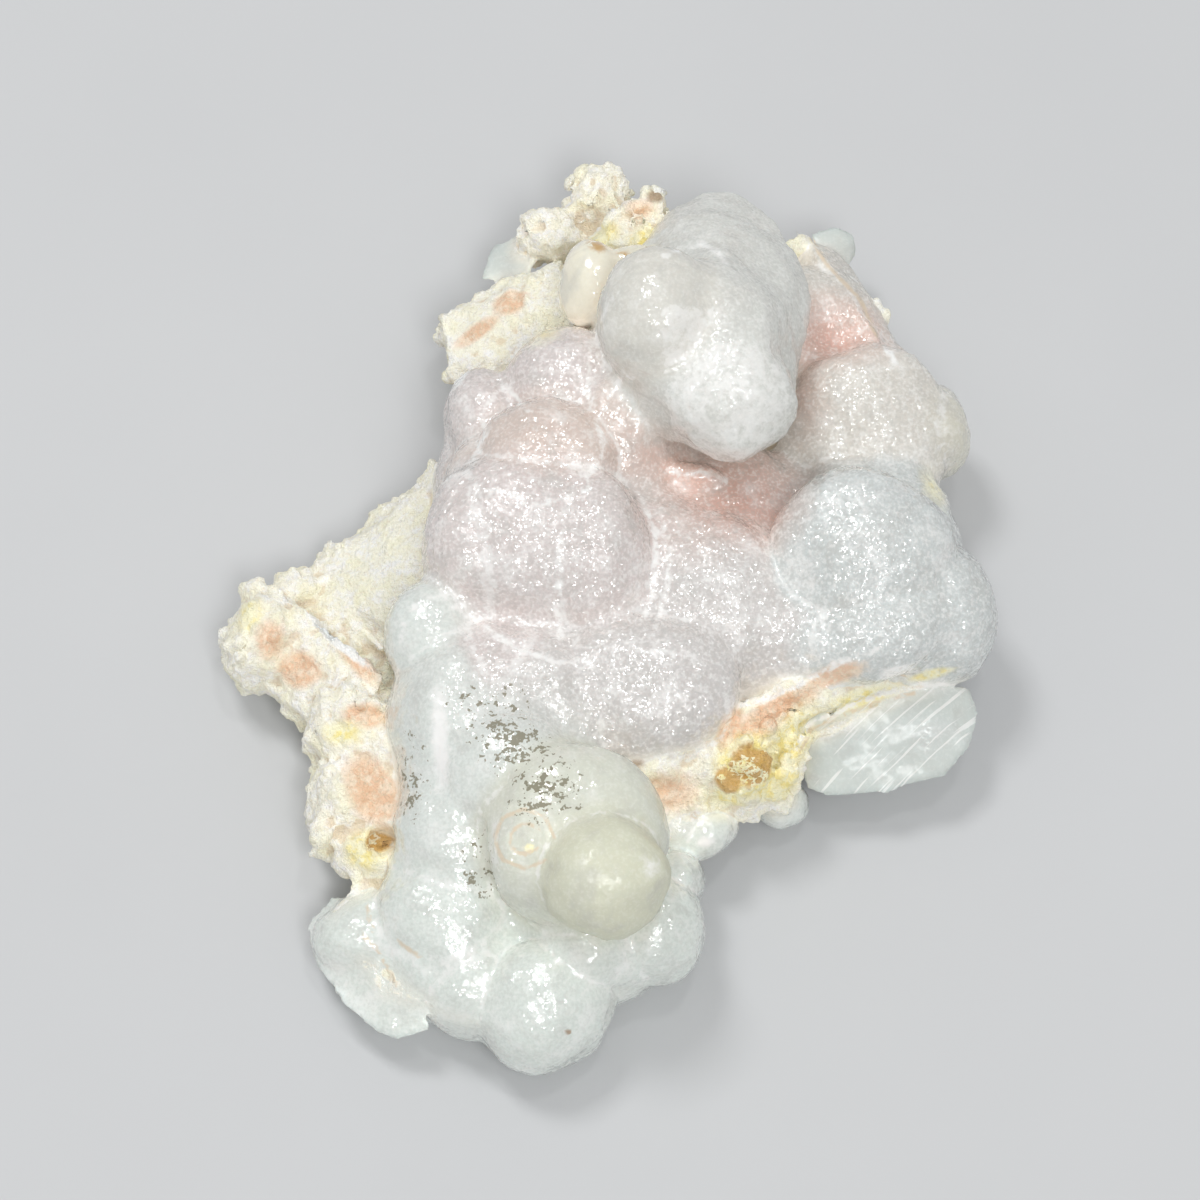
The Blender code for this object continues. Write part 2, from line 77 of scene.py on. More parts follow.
# Skins: base colour, how much druse sparkles on it, and how glossy it is.
SKINS = {
    "frost": ((0.71, 0.72, 0.68), 0.60, 0.30),
    "dome": ((0.71, 0.68, 0.60), 0.15, 0.55),
    "honey": ((0.94, 0.90, 0.74), 0.05, 0.80),
    "mauve": ((0.70, 0.63, 0.61), 0.90, 0.70),
    "rose": ((0.69, 0.59, 0.53), 0.60, 0.80),
    "sugar": ((0.66, 0.63, 0.61), 1.00, 0.65),
    "salmon": ((0.76, 0.57, 0.49), 0.80, 0.60),
    "ice": ((0.63, 0.67, 0.66), 1.00, 0.65),
    "shell": ((0.70, 0.67, 0.61), 0.80, 0.40),
    "smoke": ((0.70, 0.68, 0.56), 0.40, 0.70),
    "ridge": ((0.74, 0.79, 0.75), 0.50, 0.85),
    "foot": ((0.70, 0.72, 0.62), 0.30, 0.45),
    "wax": ((0.69, 0.70, 0.55), 0.20, 0.00),
    "snow": ((0.74, 0.80, 0.75), 0.50, 0.90),
    "glass": ((0.61, 0.66, 0.63), 0.05, 0.00),
    "beads": ((0.90, 0.88, 0.76), 0.30, 0.80),
    "yellow": ((0.90, 0.84, 0.52), 0.10, 0.60),
    "amber": ((0.68, 0.47, 0.18), 0.10, 0.80),
    "brown": ((0.42, 0.29, 0.16), 0.10, 0.30),
    "cream": ((0.95, 0.93, 0.82), 0.00, 0.00),
}

# Blocks of the broken matrix: bottom and top above the table, and the corners x, y of the outline at
# WAIST_HEIGHT over the bottom, in mm. The top is wider and the bottom narrower by these shares.
BLOCK_TOP = 1.1
BLOCK_BOTTOM = 0.55
WAIST_HEIGHT = 1.8
BLOCKS = {
    "middle_block": (
        0.9, 7.5,
        ((-10, -8), (-3, -13), (6, -13), (13, -7), (15, 3), (11, 13), (1, 16), (-8, 9), (-12, 0)),
    ),
    "right_block": (
        -0.2, 6.0,
        ((10, -7), (17, -6), (22, -2), (23, 5), (20, 14), (13, 18), (8, 10)),
    ),
    "back_block": (
        -0.2, 6.5,
        ((-6, 14), (-7, 20), (-3, 26), (4, 28), (12, 27), (17, 21), (17, 14), (8, 10)),
    ),
    "foot_block": (
        -0.5, 5.0,
        ((-14, -27), (-17, -22), (-13, -15), (-6, -12), (2, -14), (5, -20), (2, -26), (-5, -30)),
    ),
    "left_block": (
        -0.1, 4.5,
        ((-22, -3), (-20, 1), (-13, 8), (-8, 8), (-8, -10), (-14, -14), (-18, -12), (-19, -7)),
    ),
}

# Lobes: (across, up, height), radii (across, up, deep) in the view, a turn in the view in degrees, a skin.
# The broad ones run into each other.
BROAD = {
    "heart": ((1.0, -4.0, 6.6), (13.0, 12.0, 4.8), 0, "sugar"),
    "druse_field": ((7.4, -1.0, 7.2), (8.2, 7.2, 6.2), -20, "sugar"),
    "hollow_floor": ((8.8, 5.0, 6.4), (7.0, 6.4, 4.6), 0, "salmon"),
    "crown_merge": ((1.2, 12.6, 11.4), (4.4, 3.8, 4.6), 0, "rose"),
    "hollow_left_bank": ((1.8, 9.8, 8.8), (4.6, 4.6, 5.4), 20, "rose"),
    "left_floor": ((-4.4, 6.0, 6.6), (7.6, 9.4, 6.2), -10, "mauve"),
    "left_edge_floor": ((-7.7, 10.0, 5.0), (3.0, 6.0, 5.4), 0, "mauve"),
    "crown_neck": ((6.0, 17.6, 9.4), (6.6, 7.6, 7.6), 20, "shell"),
    "wall_floor": ((14.8, 16.6, 6.0), (6.2, 7.6, 4.6), 24, "shell"),
    "shoulder_floor": ((18.4, 11.4, 5.0), (6.0, 7.2, 4.8), 0, "shell"),
    "right_floor": ((18.9, 3.4, 6.0), (6.2, 7.6, 5.6), 0, "ice"),
    "right_apron": ((14.6, -2.4, 7.0), (8.0, 5.0, 5.4), 18, "sugar"),
    "edge_floor": ((22.4, -1.0, 5.0), (4.6, 5.0, 5.0), 0, "ice"),
    "middle_floor": ((2.6, -6.6, 7.0), (7.0, 5.6, 5.8), 0, "sugar"),
    "middle_saddle": ((-4.6, -7.4, 8.0), (7.4, 5.6, 5.4), 0, "sugar"),
    "ridge": ((-10.4, -9.3, 8.2), (4.2, 7.6, 5.2), -3, "ridge"),
    "ridge_end": ((-10.4, -17.4, 6.2), (4.3, 5.8, 5.0), 8, "ridge"),
    "foot_slope": ((-5.4, -12.6, 8.8), (6.6, 5.0, 5.6), -25, "ridge"),
    "foot_floor": ((-1.6, -17.4, 7.0), (6.0, 6.4, 6.4), 0, "foot"),
    "front_band": ((-0.2, -24.4, 3.8), (6.4, 4.0, 4.6), 17, "snow"),
    "front_left_fill": ((-10.4, -24.8, 3.2), (6.4, 4.6, 4.4), 0, "snow"),
}
# The crisp ones stand out with a crease or an edge round them.
CRISP = {
    "crown_inner_dome": ((4.1, 19.8, 18.7), (4.4, 4.9, 4.2), -12, "dome"),
    "crown_chin_swell": ((8.8, 14.4, 16.8), (4.8, 4.4, 3.6), 10, "frost"),
    "small_bubble": ((-0.5, 22.0, 14.4), (2.2, 3.0, 2.6), -10, "honey"),
    "bubble_link": ((2.2, 23.2, 14.6), (1.8, 1.7, 1.9), 0, "honey"),
    "upper_dome": ((-2.6, 15.0, 12.2), (4.4, 4.0, 3.6), 10, "mauve"),
    "cap_dome": ((-3.6, 10.2, 13.2), (4.8, 4.0, 3.6), -6, "rose"),
    "upper_left_lobe": ((-7.8, 12.0, 9.6), (2.8, 4.4, 4.2), 12, "mauve"),
    "cap_side": ((-7.4, 8.4, 11.0), (3.4, 3.0, 3.4), 0, "rose"),
    "great_dome": ((-4.6, 3.8, 11.4), (7.6, 6.9, 4.6), 0, "mauve"),
    "great_left": ((-8.4, 3.4, 11.4), (4.0, 5.8, 4.0), 0, "mauve"),
    "great_right": ((-0.4, 3.0, 11.8), (4.2, 6.2, 4.2), 8, "mauve"),
    "left_lobe": ((-11.9, -2.2, 9.8), (3.3, 3.7, 3.8), 0, "ridge"),
    "saddle_lobe": ((-6.8, -5.6, 10.0), (4.6, 3.8, 3.4), -25, "mauve"),
    "middle_dome": ((3.4, -6.4, 10.4), (6.4, 5.4, 2.7), 0, "sugar"),
    "shoulder": ((18.4, 11.6, 8.2), (6.2, 6.6, 3.2), 0, "shell"),
    "shoulder_lobe": ((23.0, 11.7, 6.4), (3.0, 3.5, 3.8), 0, "smoke"),
    "right_dome": ((18.4, 2.4, 10.8), (6.5, 6.9, 4.0), 0, "ice"),
    "hollow_ridge": ((6.2, 8.7, 11.0), (2.9, 0.9, 1.3), -10, "salmon"),
    "right_dome_skirt": ((18.8, -2.4, 9.6), (6.4, 3.4, 3.4), 14, "ice"),
    "right_edge_lobe": ((22.8, -1.1, 7.6), (5.0, 5.2, 4.6), 0, "ice"),
    "foot_dome": ((-1.9, -16.6, 10.4), (6.3, 6.4, 4.8), 0, "foot"),
    "foot_ball": ((0.4, -19.2, 13.0), (4.2, 4.2, 3.9), 0, "wax"),
    "eye": ((-5.4, -16.8, 12.0), (2.1, 2.4, 2.2), 0, "foot"),
    "low_lobe": ((7.2, -16.2, 4.0), (2.3, 1.7, 2.8), 22, "snow"),
    "low_fill": ((5.6, -15.8, 4.4), (1.8, 1.8, 2.6), 0, "snow"),
    "seam_foot_lobe": ((12.6, -14.1, 2.8), (2.0, 1.8, 2.1), 0, "snow"),
    "front_lobe": ((-3.9, -28.4, 4.0), (4.8, 4.6, 4.4), 0, "snow"),
    "front_right_lobe": ((3.8, -23.0, 4.8), (3.7, 3.9, 4.2), 0, "snow"),
    "front_right_upper": ((5.3, -19.8, 4.8), (2.0, 2.4, 3.0), 0, "snow"),
    "front_upper_lobe": ((-1.0, -24.6, 5.6), (3.8, 2.8, 3.4), 20, "snow"),
    "front_middle_lobe": ((-8.6, -27.2, 3.6), (3.9, 3.5, 3.4), 0, "snow"),
    "front_left_upper": ((-11.2, -22.2, 5.4), (4.6, 4.6, 3.8), 0, "snow"),
    "front_left_side": ((-15.8, -23.8, 3.2), (4.2, 3.4, 3.4), 0, "snow"),
}
# Those of the crisp ones that run softly into the floor or the crown.
SOFT_LOBES = (
    "upper_dome", "upper_left_lobe", "cap_side", "great_dome", "great_left", "great_right", "left_lobe",
    "saddle_lobe", "middle_dome", "shoulder", "right_dome_skirt", "right_edge_lobe", "foot_dome",
    "foot_ball", "front_upper_lobe", "front_middle_lobe", "front_left_upper",
)
CROWN_LOBES = ("crown_inner_dome", "crown_chin_swell")
# The crumbly ones.
MATRIX = {
    "wing_tip": ((-23.4, -3.1, 4.0), (3.0, 3.9, 3.6), -10, "cream"),
    "wing_low": ((-17.2, -9.2, 4.8), (3.4, 3.8, 3.8), 0, "cream"),
    "wing_foot": ((-17.4, -14.2, 4.2), (3.4, 3.8, 3.6), 0, "cream"),
    "wing_heel": ((-16.2, -17.7, 4.0), (2.7, 2.2, 3.0), 0, "cream"),
    "top_tangle": ((2.0, 24.9, 8.0), (3.6, 2.8, 4.0), 20, "beads"),
    "top_peach": ((2.5, 27.2, 8.2), (1.9, 1.2, 1.6), -10, "beads"),
    "wing_top": ((-21.4, 0.5, 3.4), (2.4, 1.5, 2.6), 18, "cream"),
    "top_stem": ((-0.1, 27.4, 6.6), (2.0, 2.6, 2.4), 0, "beads"),
    "top_knuckle": ((-3.4, 25.2, 6.6), (2.6, 2.0, 2.2), 0, "beads"),
    "seam_fill": ((4.7, -11.4, 8.0), (2.2, 1.6, 2.0), 0, "cream"),
    "seam_fill_right": ((7.3, -11.4, 7.8), (1.8, 1.6, 2.0), 0, "cream"),
    "ridge_fill": ((-14.7, -11.0, 6.2), (1.7, 2.6, 2.2), 0, "cream"),
    "ridge_fill_low": ((-14.2, -15.0, 5.2), (1.5, 2.4, 2.0), 0, "cream"),
}

# The crown's shield is the hull of these corners: (across, up, height).
CROWN_RIM = (
    (4.4, 27.0, 12.6), (7.2, 28.7, 12.0), (9.8, 28.5, 12.0), (12.6, 26.8, 12.2), (14.4, 24.0, 13.0),
    (14.8, 20.6, 13.6), (14.3, 17.2, 14.0), (13.7, 13.8, 14.4), (12.6, 10.9, 14.4), (10.2, 9.3, 14.4),
    (7.4, 9.5, 14.2), (3.8, 11.2, 13.8), (1.0, 13.4, 13.4), (-0.7, 16.4, 13.4), (-0.7, 19.4, 13.8),
    (1.4, 23.6, 13.4),
)
CROWN_FACE = (
    (3.0, 21.0, 19.2), (8.0, 22.6, 21.4), (11.4, 20.0, 20.4), (11.4, 15.6, 20.0), (8.4, 13.0, 20.0),
    (4.6, 14.6, 19.0), (9.0, 25.6, 18.4),
)
CROWN_BACK = ((6.0, 20.0, 5.0), (10.0, 19.0, 6.0))

# Angular pieces are hulls of their corners as well. These are glassy: a skin and the corners.
GLASSY_CHIPS = {
    "front_left_block": ("snow", (
        (-20.4, -22.8, 3.2), (-18.6, -20.6, 3.8), (-15.0, -20.4, 6.2), (-12.4, -24.6, 6.8),
        (-11.8, -30.4, 4.0), (-14.4, -30.8, 3.0), (-18.0, -28.8, 3.0), (-20.0, -25.4, 3.0),
        (-15.6, -24.0, 6.4), (-17.0, -25.0, 0.8), (-13.6, -28.0, 0.8),
    )),
    "lower_slab": ("glass", (
        (13.8, -9.6, 5.6), (15.2, -8.4, 6.6), (18.7, -7.2, 7.2), (22.2, -6.3, 7.2), (25.9, -6.1, 5.8),
        (26.4, -8.0, 5.2), (25.6, -10.4, 4.8), (24.1, -12.6, 4.2), (20.4, -13.6, 4.0), (16.0, -13.5, 4.0),
        (14.4, -13.0, 4.0), (13.7, -11.2, 4.8), (16.4, -11.4, 1.8), (24.0, -9.4, 2.2), (22.0, -6.4, 2.0),
    )),
    "clear_chip": ("glass", (
        (-8.5, 22.4, 5.6), (-7.9, 24.6, 5.2), (-5.6, 25.7, 5.6), (-4.2, 24.0, 7.2), (-5.4, 22.2, 7.2),
        (-5.6, 22.6, 2.4),
    )),
    "pale_chip": ("glass", (
        (14.6, 25.8, 6.6), (16.2, 26.3, 6.0), (17.8, 25.6, 5.8), (17.7, 24.0, 5.6), (16.8, 23.4, 6.4),
        (14.8, 23.6, 5.6), (16.4, 24.4, 4.2),
    )),
    "back_wall": ("shell", (
        (13.8, 26.2, 8.4), (15.4, 24.6, 10.2), (18.8, 19.4, 10.4), (21.4, 15.2, 9.6), (22.0, 15.6, 7.6),
        (19.4, 20.0, 6.8), (16.2, 24.2, 6.4), (13.8, 21.6, 7.6), (16.0, 15.6, 8.0), (17.6, 19.4, 2.5),
        (14.6, 22.4, 2.5), (20.4, 15.0, 2.5),
    )),
}
# and these are crumbly.
MATRIX_CHIPS = {
    "wing_ridge": (
        (-24.3, 1.2, 5.4), (-23.0, 1.2, 6.4), (-20.9, -0.6, 7.6), (-17.9, -2.8, 8.4), (-15.0, -5.6, 8.4),
        (-15.6, -7.8, 7.4), (-20.8, -9.2, 3.0), (-20.6, -8.2, 5.6), (-25.0, -5.6, 3.6), (-26.5, -2.8, 3.4),
        (-24.4, 0.2, 2.2), (-16.5, -5.5, 1.5), (-22.0, -7.4, 1.2),
    ),
    "wing_slope": (
        (-21.4, 1.0, 3.4), (-19.6, 1.6, 3.2), (-15.6, 4.8, 3.2), (-11.4, 9.8, 3.4), (-10.6, 9.2, 8.0),
        (-11.6, 3.0, 8.4), (-13.6, -1.6, 7.6), (-14.6, -4.6, 5.8), (-18.6, -1.2, 5.0), (-19.4, 0.4, 1.0),
        (-12.4, 7.6, 1.0), (-12.5, 1.0, 0.5),
    ),
    "wing_facet": (
        (-18.6, -10.9, 6.8), (-15.8, -9.8, 8.0), (-13.0, -16.4, 7.4), (-17.4, -17.2, 5.6),
        (-20.4, -14.6, 4.4), (-20.8, -13.2, 3.0), (-19.2, -10.6, 3.0), (-17.0, -18.4, 1.5),
        (-13.4, -15.5, 1.5),
    ),
    "upper_left_bank": (
        (-11.5, 20.3, 8.2), (-10.6, 15.2, 7.4), (-9.0, 14.2, 7.0), (-7.8, 22.4, 7.4), (-3.0, 23.4, 9.0),
        (-1.4, 20.6, 10.0), (-2.0, 17.6, 9.6), (-6.0, 17.0, 8.4), (-11.0, 18.6, 3.6), (-6.6, 21.2, 2.0),
        (-2.0, 22.0, 2.5),
    ),
    "seam_block": (
        (7.4, -11.2, 9.0), (9.0, -7.4, 9.8), (14.2, -8.2, 8.2), (14.4, -13.0, 5.6), (13.2, -15.0, 4.4),
        (9.6, -15.4, 4.6), (7.4, -15.8, 5.0), (7.0, -13.4, 7.8), (10.5, -12.0, 1.0),
    ),
    "seam_left": (
        (1.6, -11.4, 9.4), (5.4, -11.0, 9.6), (7.6, -12.2, 8.4), (7.8, -15.4, 5.8), (4.8, -16.6, 6.0),
        (2.6, -14.4, 7.4), (5.6, -14.0, 1.0),
    ),
    "seam_ledge": (
        (9.2, -7.6, 9.6), (13.8, -5.8, 9.8), (17.4, -3.9, 9.6), (22.6, -3.4, 8.2), (25.4, -5.0, 6.6),
        (22.0, -5.9, 7.4), (18.2, -6.6, 7.6), (15.0, -8.4, 7.2), (13.8, -10.2, 6.4), (14.0, -8.0, 1.5),
        (21.0, -5.0, 2.0),
    ),
}

# Clusters of small knobs: the lobe that they stand on, as above, a knob's radius in mm, how many, a skin.
# Each knob's size varies within these shares, and none stands lower on its lobe than LOWEST_KNOB.
KNOB_SIZES = (0.7, 1.2)
LOWEST_KNOB = -0.3
KNOBS = {
    "spur": ((-0.2, 28.7, 7.0), (1.8, 1.9, 1.6), 0, 0.75, 22, "beads"),
    "knuckle": ((-3.8, 25.9, 7.2), (1.7, 1.4, 1.4), 0, 0.65, 16, "beads"),
    "yellow_knobs": ((2.6, 25.8, 10.0), (2.6, 2.2, 2.0), 15, 0.75, 18, "yellow"),
    "brown_knob": ((3.9, 28.1, 8.0), (0.5, 0.5, 0.5), 0, 0.6, 4, "brown"),
    "wall_tip": ((13.9, 25.0, 8.4), (0.5, 0.7, 0.6), 0, 0.7, 5, "cream"),
    "wing_nub": ((-24.0, 0.7, 4.8), (0.6, 0.6, 0.6), 0, 0.8, 4, "cream"),
    "amber_grains": ((10.0, -12.0, 7.4), (1.8, 1.4, 1.2), 40, 0.7, 12, "amber"),
    "seam_knobs": ((12.2, -11.4, 6.0), (1.4, 2.4, 2.2), -20, 0.7, 14, "yellow"),
    "edge_beads": ((22.3, 7.2, 5.4), (0.8, 2.0, 1.2), 10, 0.7, 10, "beads"),
    "wall_bead": ((19.4, 20.2, 7.0), (0.5, 0.8, 0.6), 35, 0.5, 4, "cream"),
    "wing_crumbs": ((-18.2, -9.4, 5.2), (2.2, 3.0, 2.4), -25, 0.8, 12, "cream"),
    "facet_crumbs": ((-17.4, -16.2, 4.6), (2.6, 2.4, 2.6), 0, 0.8, 10, "cream"),
    "spur_beads": ((-0.2, 28.6, 7.0), (2.3, 2.2, 2.0), 0, 0.36, 70, "beads"),
    "stem_beads": ((-0.1, 26.8, 7.0), (2.2, 2.6, 2.4), 0, 0.34, 50, "beads"),
    "knuckle_beads": ((-3.7, 25.6, 7.2), (2.3, 1.9, 2.0), 0, 0.34, 70, "beads"),
    "yellow_beads": ((2.6, 25.8, 10.2), (3.0, 2.4, 2.2), 15, 0.3, 50, "yellow"),
    "amber_beads": ((10.0, -12.0, 7.6), (2.2, 1.7, 1.5), 40, 0.4, 34, "amber"),
    "seam_beads": ((12.2, -11.5, 6.2), (1.8, 2.7, 2.4), -20, 0.35, 50, "yellow"),
}

# Hollows pressed into the surface, as lobes above, and how deep in mm.
HOLLOWS = {
    "wing_recess": ((-17.0, -2.2, 7.4), (1.5, 4.4, 3.4), 46, 1.4),
    "bank_hollow": ((-6.6, 19.0, 9.6), (3.0, 2.2, 3.4), 30, 0.8),
    "wall_hollow": ((16.2, 18.6, 10.2), (2.8, 4.4, 3.6), 25, 1.2),
    "slab_gap": ((16.6, -8.2, 7.4), (5.4, 0.9, 2.8), 20, 1.2),
    "wing_pocket": ((-15.4, -17.0, 6.6), (1.6, 1.4, 2.6), 0, 1.4),
    "foot_groove": ((-7.6, -17.6, 9.0), (1.0, 4.2, 3.4), 5, 1.0),
}

# Where the matrix is smooth and waxy, as stains below.
SMOOTH_SPOTS = (
    ((-14.2, 3.0), (7.0, 5.4), 35, 1.6),
    ((-20.4, 0.2), (3.0, 1.6), 0, 1.0),
    ((-8.8, 19.6), (3.4, 2.4), 0, 1.0),
)
SMOOTHNESS = 0.7  # the share of the roughness that it takes away there
SMOOTH_LIMIT = 0.3  # no crumbs stand where it is smoother than this
CRUMB_FLOOR = 1.0  # mm above the table, the lowest crumb

# Crumbs that stand on the matrix, seeded over it: how many, and their radii in mm.
CRUMBS = 1500
CRUMB_RADII = (0.14, 0.38)

# Rings on the opal: their middle (across, up), the radii that they run between, spacing and depth in mm.
RINGS = {
    "eye": ((-5.3, -16.7), (0.5, 2.5), 0.56, 0.07),
    "inner_dome": ((3.9, 19.9), (3.5, 4.7), 0.5, 0.04),
    "great_dome": ((-4.0, 3.8), (6.2, 8.2), 0.75, 0.05),
}

# Stains: their middle (across, up) on the surface, their radii (across, up) in the view, a turn in degrees,
# and how strong they are. Each fades from its middle to its edge.
STAINS = {
    "pink": (
        ((9.6, 6.6), (7.0, 4.6), -5, 1.2),
        ((3.6, 10.0), (4.8, 3.0), -20, 0.5),
        ((6.3, 5.4), (6.0, 4.0), 0, 0.4),
        ((16.4, 18.2), (6.0, 4.4), 0, 1.2),
        ((14.2, 14.4), (2.8, 4.6), 0, 0.5),
        ((-3.6, 11.4), (6.4, 5.0), 0, 0.2),
    ),
    "peach": (
        ((-6.3, 20.9), (1.9, 1.4), 20, 1.0),
        ((-8.6, 18.8), (3.0, 0.9), 35, 0.8),
        ((-23.1, -2.8), (1.9, 2.6), 0, 0.7),
        ((-21.0, -4.9), (2.3, 1.9), 0, 1.0),
        ((-16.6, -8.1), (2.2, 1.3), 0, 1.0),
        ((-17.0, -4.2), (1.1, 3.6), 42, 0.8),
        ((-15.9, -13.4), (2.5, 3.8), 30, 1.0),
        ((12.2, -8.0), (5.4, 1.5), 32, 1.0),
        ((9.2, -9.0), (1.6, 2.4), 0, 0.9),
        ((16.5, -5.2), (3.2, 1.1), 20, 0.9),
        ((5.0, -13.4), (3.2, 2.6), 0, 0.6),
        ((2.8, 27.4), (2.0, 1.2), 0, 0.6),
    ),
    "yellow": (
        ((13.6, -9.8), (2.2, 4.0), -35, 1.0),
        ((12.3, -12.8), (3.2, 2.2), 0, 1.0),
        ((10.8, -11.6), (3.4, 3.4), 0, 1.6),
        ((18.2, -6.9), (4.2, 1.0), 16, 0.9),
        ((23.2, -5.2), (2.4, 0.5), 15, 1.0),
        ((8.8, -14.0), (2.2, 1.6), 0, 0.7),
        ((0.0, 25.4), (2.4, 2.0), 0, 0.8),
        ((3.2, 25.2), (2.2, 2.0), 0, 0.8),
        ((-16.4, -17.5), (2.4, 2.0), 0, 1.0),
        ((-24.6, -1.0), (1.6, 2.4), 0, 0.7),
        ((-18.0, -9.3), (2.2, 1.4), 0, 0.8),
        ((-3.9, 18.8), (2.2, 3.2), 0, 0.5),
        ((23.4, 7.8), (2.0, 3.0), 0, 0.5),
        ((-4.9, -17.4), (0.5, 0.4), 0, 1.6),
    ),
    "amber": (
        ((10.8, -11.6), (2.5, 2.3), 0, 1.2),
        ((8.9, -12.7), (1.4, 1.4), 0, 1.2),
        ((-15.6, -17.0), (1.8, 1.2), 0, 1.0),
        ((-0.2, 24.9), (1.4, 1.8), 0, 0.6),
        ((1.6, 24.2), (1.2, 0.7), 0, 0.5),
    ),
    "brown": (
        ((3.9, 28.3), (1.3, 1.0), 0, 1.0),
        ((2.6, -11.4), (1.2, 0.9), 0, 0.7),
        ((-2.2, -30.2), (0.5, 0.4), 0, 1.2),
    ),
    "chalk_and_painted_light": (
        ((21.0, -5.1), (2.2, 1.0), 5, 1.0),
        ((-18.4, -2.8), (5.0, 0.7), -40, 1.0),
        ((20.3, 17.2), (0.5, 2.0), 30, 0.7),
        ((-9.8, 15.6), (1.0, 2.6), -20, 0.7),
        # partly a painted highlight: this white streak down the ridge gives its whiter tone and its glossy
        # sheen
        ((-11.2, -9.6), (1.3, 7.6), 2, 0.6),
        # painted glow: the light that shines through the foot ball, showing on its right side
        ((3.6, -18.7), (1.7, 2.0), 0, 0.45),
        ((7.4, -17.0), (1.4, 1.0), 0, 0.6),
    ),
    "dirt": (
        ((-6.3, -9.8), (4.6, 2.6), -40, 1.0),
        ((-3.9, -13.2), (3.0, 3.0), 0, 1.0),
        ((-8.0, -7.0), (3.8, 1.4), 0, 0.7),
        ((-13.2, -12.8), (1.6, 4.0), 0, 0.7),
        ((-8.1, -18.4), (1.8, 2.8), 0, 0.6),
    ),
    "scratched": (((20.0, -9.8), (8.5, 5.0), 15, 1.0),),
}

# Thin white veins along creases and broken edges, as strokes (across, up) in the view, in mm. The wavy line
# under the crown is a painted highlight on the hollow's ridge.
VEINS_AND_HIGHLIGHT = {
    "great_dome_foot": (
        (-11.0, 0.7), (-9.7, -0.8), (-7.6, -2.2), (-5.6, -3.5), (-2.8, -4.4), (0.0, -4.2), (3.4, -3.5),
        (6.3, -3.9),
    ),
    "cap_edge": ((-8.0, 7.0), (-7.4, 7.8), (-6.2, 7.4), (-4.9, 6.6), (-2.8, 7.0), (-0.8, 7.8)),
    "cap_right": ((-0.3, 12.3), (0.3, 11.1), (-0.1, 9.7), (-1.0, 8.5)),
    "great_dome_right": ((2.8, 7.0), (3.7, 5.3), (4.0, 3.2), (3.7, 0.7), (3.0, -1.3)),
    "great_dome_right_outer": ((4.3, 5.6), (4.9, 3.5), (4.7, 0.7), (3.9, -1.8)),
    "great_dome_middle": ((-2.8, 1.1), (-3.1, -0.7), (-2.7, -2.9)),
    "upper_left": (
        (-6.5, 15.0), (-7.3, 14.4), (-8.3, 13.4), (-8.0, 11.6), (-8.8, 9.9), (-9.5, 8.8), (-8.4, 7.7),
    ),
    "inner_dome_left": ((1.1, 21.6), (0.0, 19.6), (-0.4, 18.3), (0.1, 16.8), (1.2, 15.9), (2.2, 15.5)),
    "inner_dome_rim": ((4.5, 24.1), (5.9, 24.7), (7.1, 24.9), (8.2, 24.4), (8.9, 23.5)),
    "upper_left_branch": ((-6.4, 14.8), (-5.6, 13.9), (-4.7, 12.9)),
    "crown_left_foot": ((-0.8, 18.1), (-0.7, 16.4), (-0.9, 14.6), (-0.3, 13.3)),
    "crown_foot": ((1.5, 15.5), (0.7, 14.3), (0.3, 13.4)),
    # painted highlight: the glossy line along the hollow's ridge
    "hollow_wave_highlight": ((4.7, 9.2), (5.9, 8.8), (7.4, 9.0), (8.8, 8.4)),
    "left_lobe_rim": ((-13.9, -2.8), (-13.7, -1.1), (-12.3, 0.1), (-10.9, 0.4)),
    "middle_dome_rim": ((8.8, -7.0), (9.0, -8.3), (8.5, -9.7), (7.0, -10.6), (5.0, -11.2)),
    "crust_edge": (
        (8.8, -7.2), (9.9, -7.4), (11.0, -7.3), (12.5, -6.6), (13.9, -5.9), (15.4, -5.1), (16.5, -4.6),
        (17.9, -4.0), (19.4, -3.4),
    ),
    "slab_edge": (
        (13.7, -10.6), (14.0, -9.7), (14.6, -8.8), (15.5, -8.3), (16.5, -7.9), (17.5, -7.4), (18.7, -6.9),
        (20.3, -6.4), (22.0, -6.1), (23.8, -5.9), (26.0, -5.9),
    ),
}
# Thin dark cracks, as strokes too, and painted shadow lines: beside the wall's fold and along the slab's
# upper edge.
CRACKS_AND_SHADOWS = {
    # painted shadow: the dark line beside the wall's raised fold
    "wall_fold_shadow": ((14.6, 25.6), (15.9, 23.4), (18.1, 21.2), (19.4, 18.4)),
    "block_fracture": ((-17.4, -22.8), (-15.6, -24.4), (-14.2, -27.0)),
    "block_fracture_branch": ((-16.4, -21.2), (-15.8, -23.4)),
    "block_fracture_right": ((-14.3, -23.8), (-12.3, -25.2)),
    "slab_shadow": ((13.9, -10.8), (14.8, -9.0), (16.6, -8.2), (18.9, -7.3), (22.0, -6.5)),
    "eye_rim": (
        (-3.2, -16.7), (-3.8, -15.2), (-5.3, -14.6), (-6.8, -15.2), (-7.4, -16.7), (-6.8, -18.2),
        (-5.3, -18.8), (-3.8, -18.2),
    ),
    "eye_ring": ((-4.2, -16.0), (-5.3, -15.6), (-6.2, -16.2), (-6.3, -17.3), (-5.4, -17.9), (-4.4, -17.4)),
}
VEIN_REACH = 1.6  # mm
FACING = 0.3  # how far a side has to face the viewer for a stroke to show in full

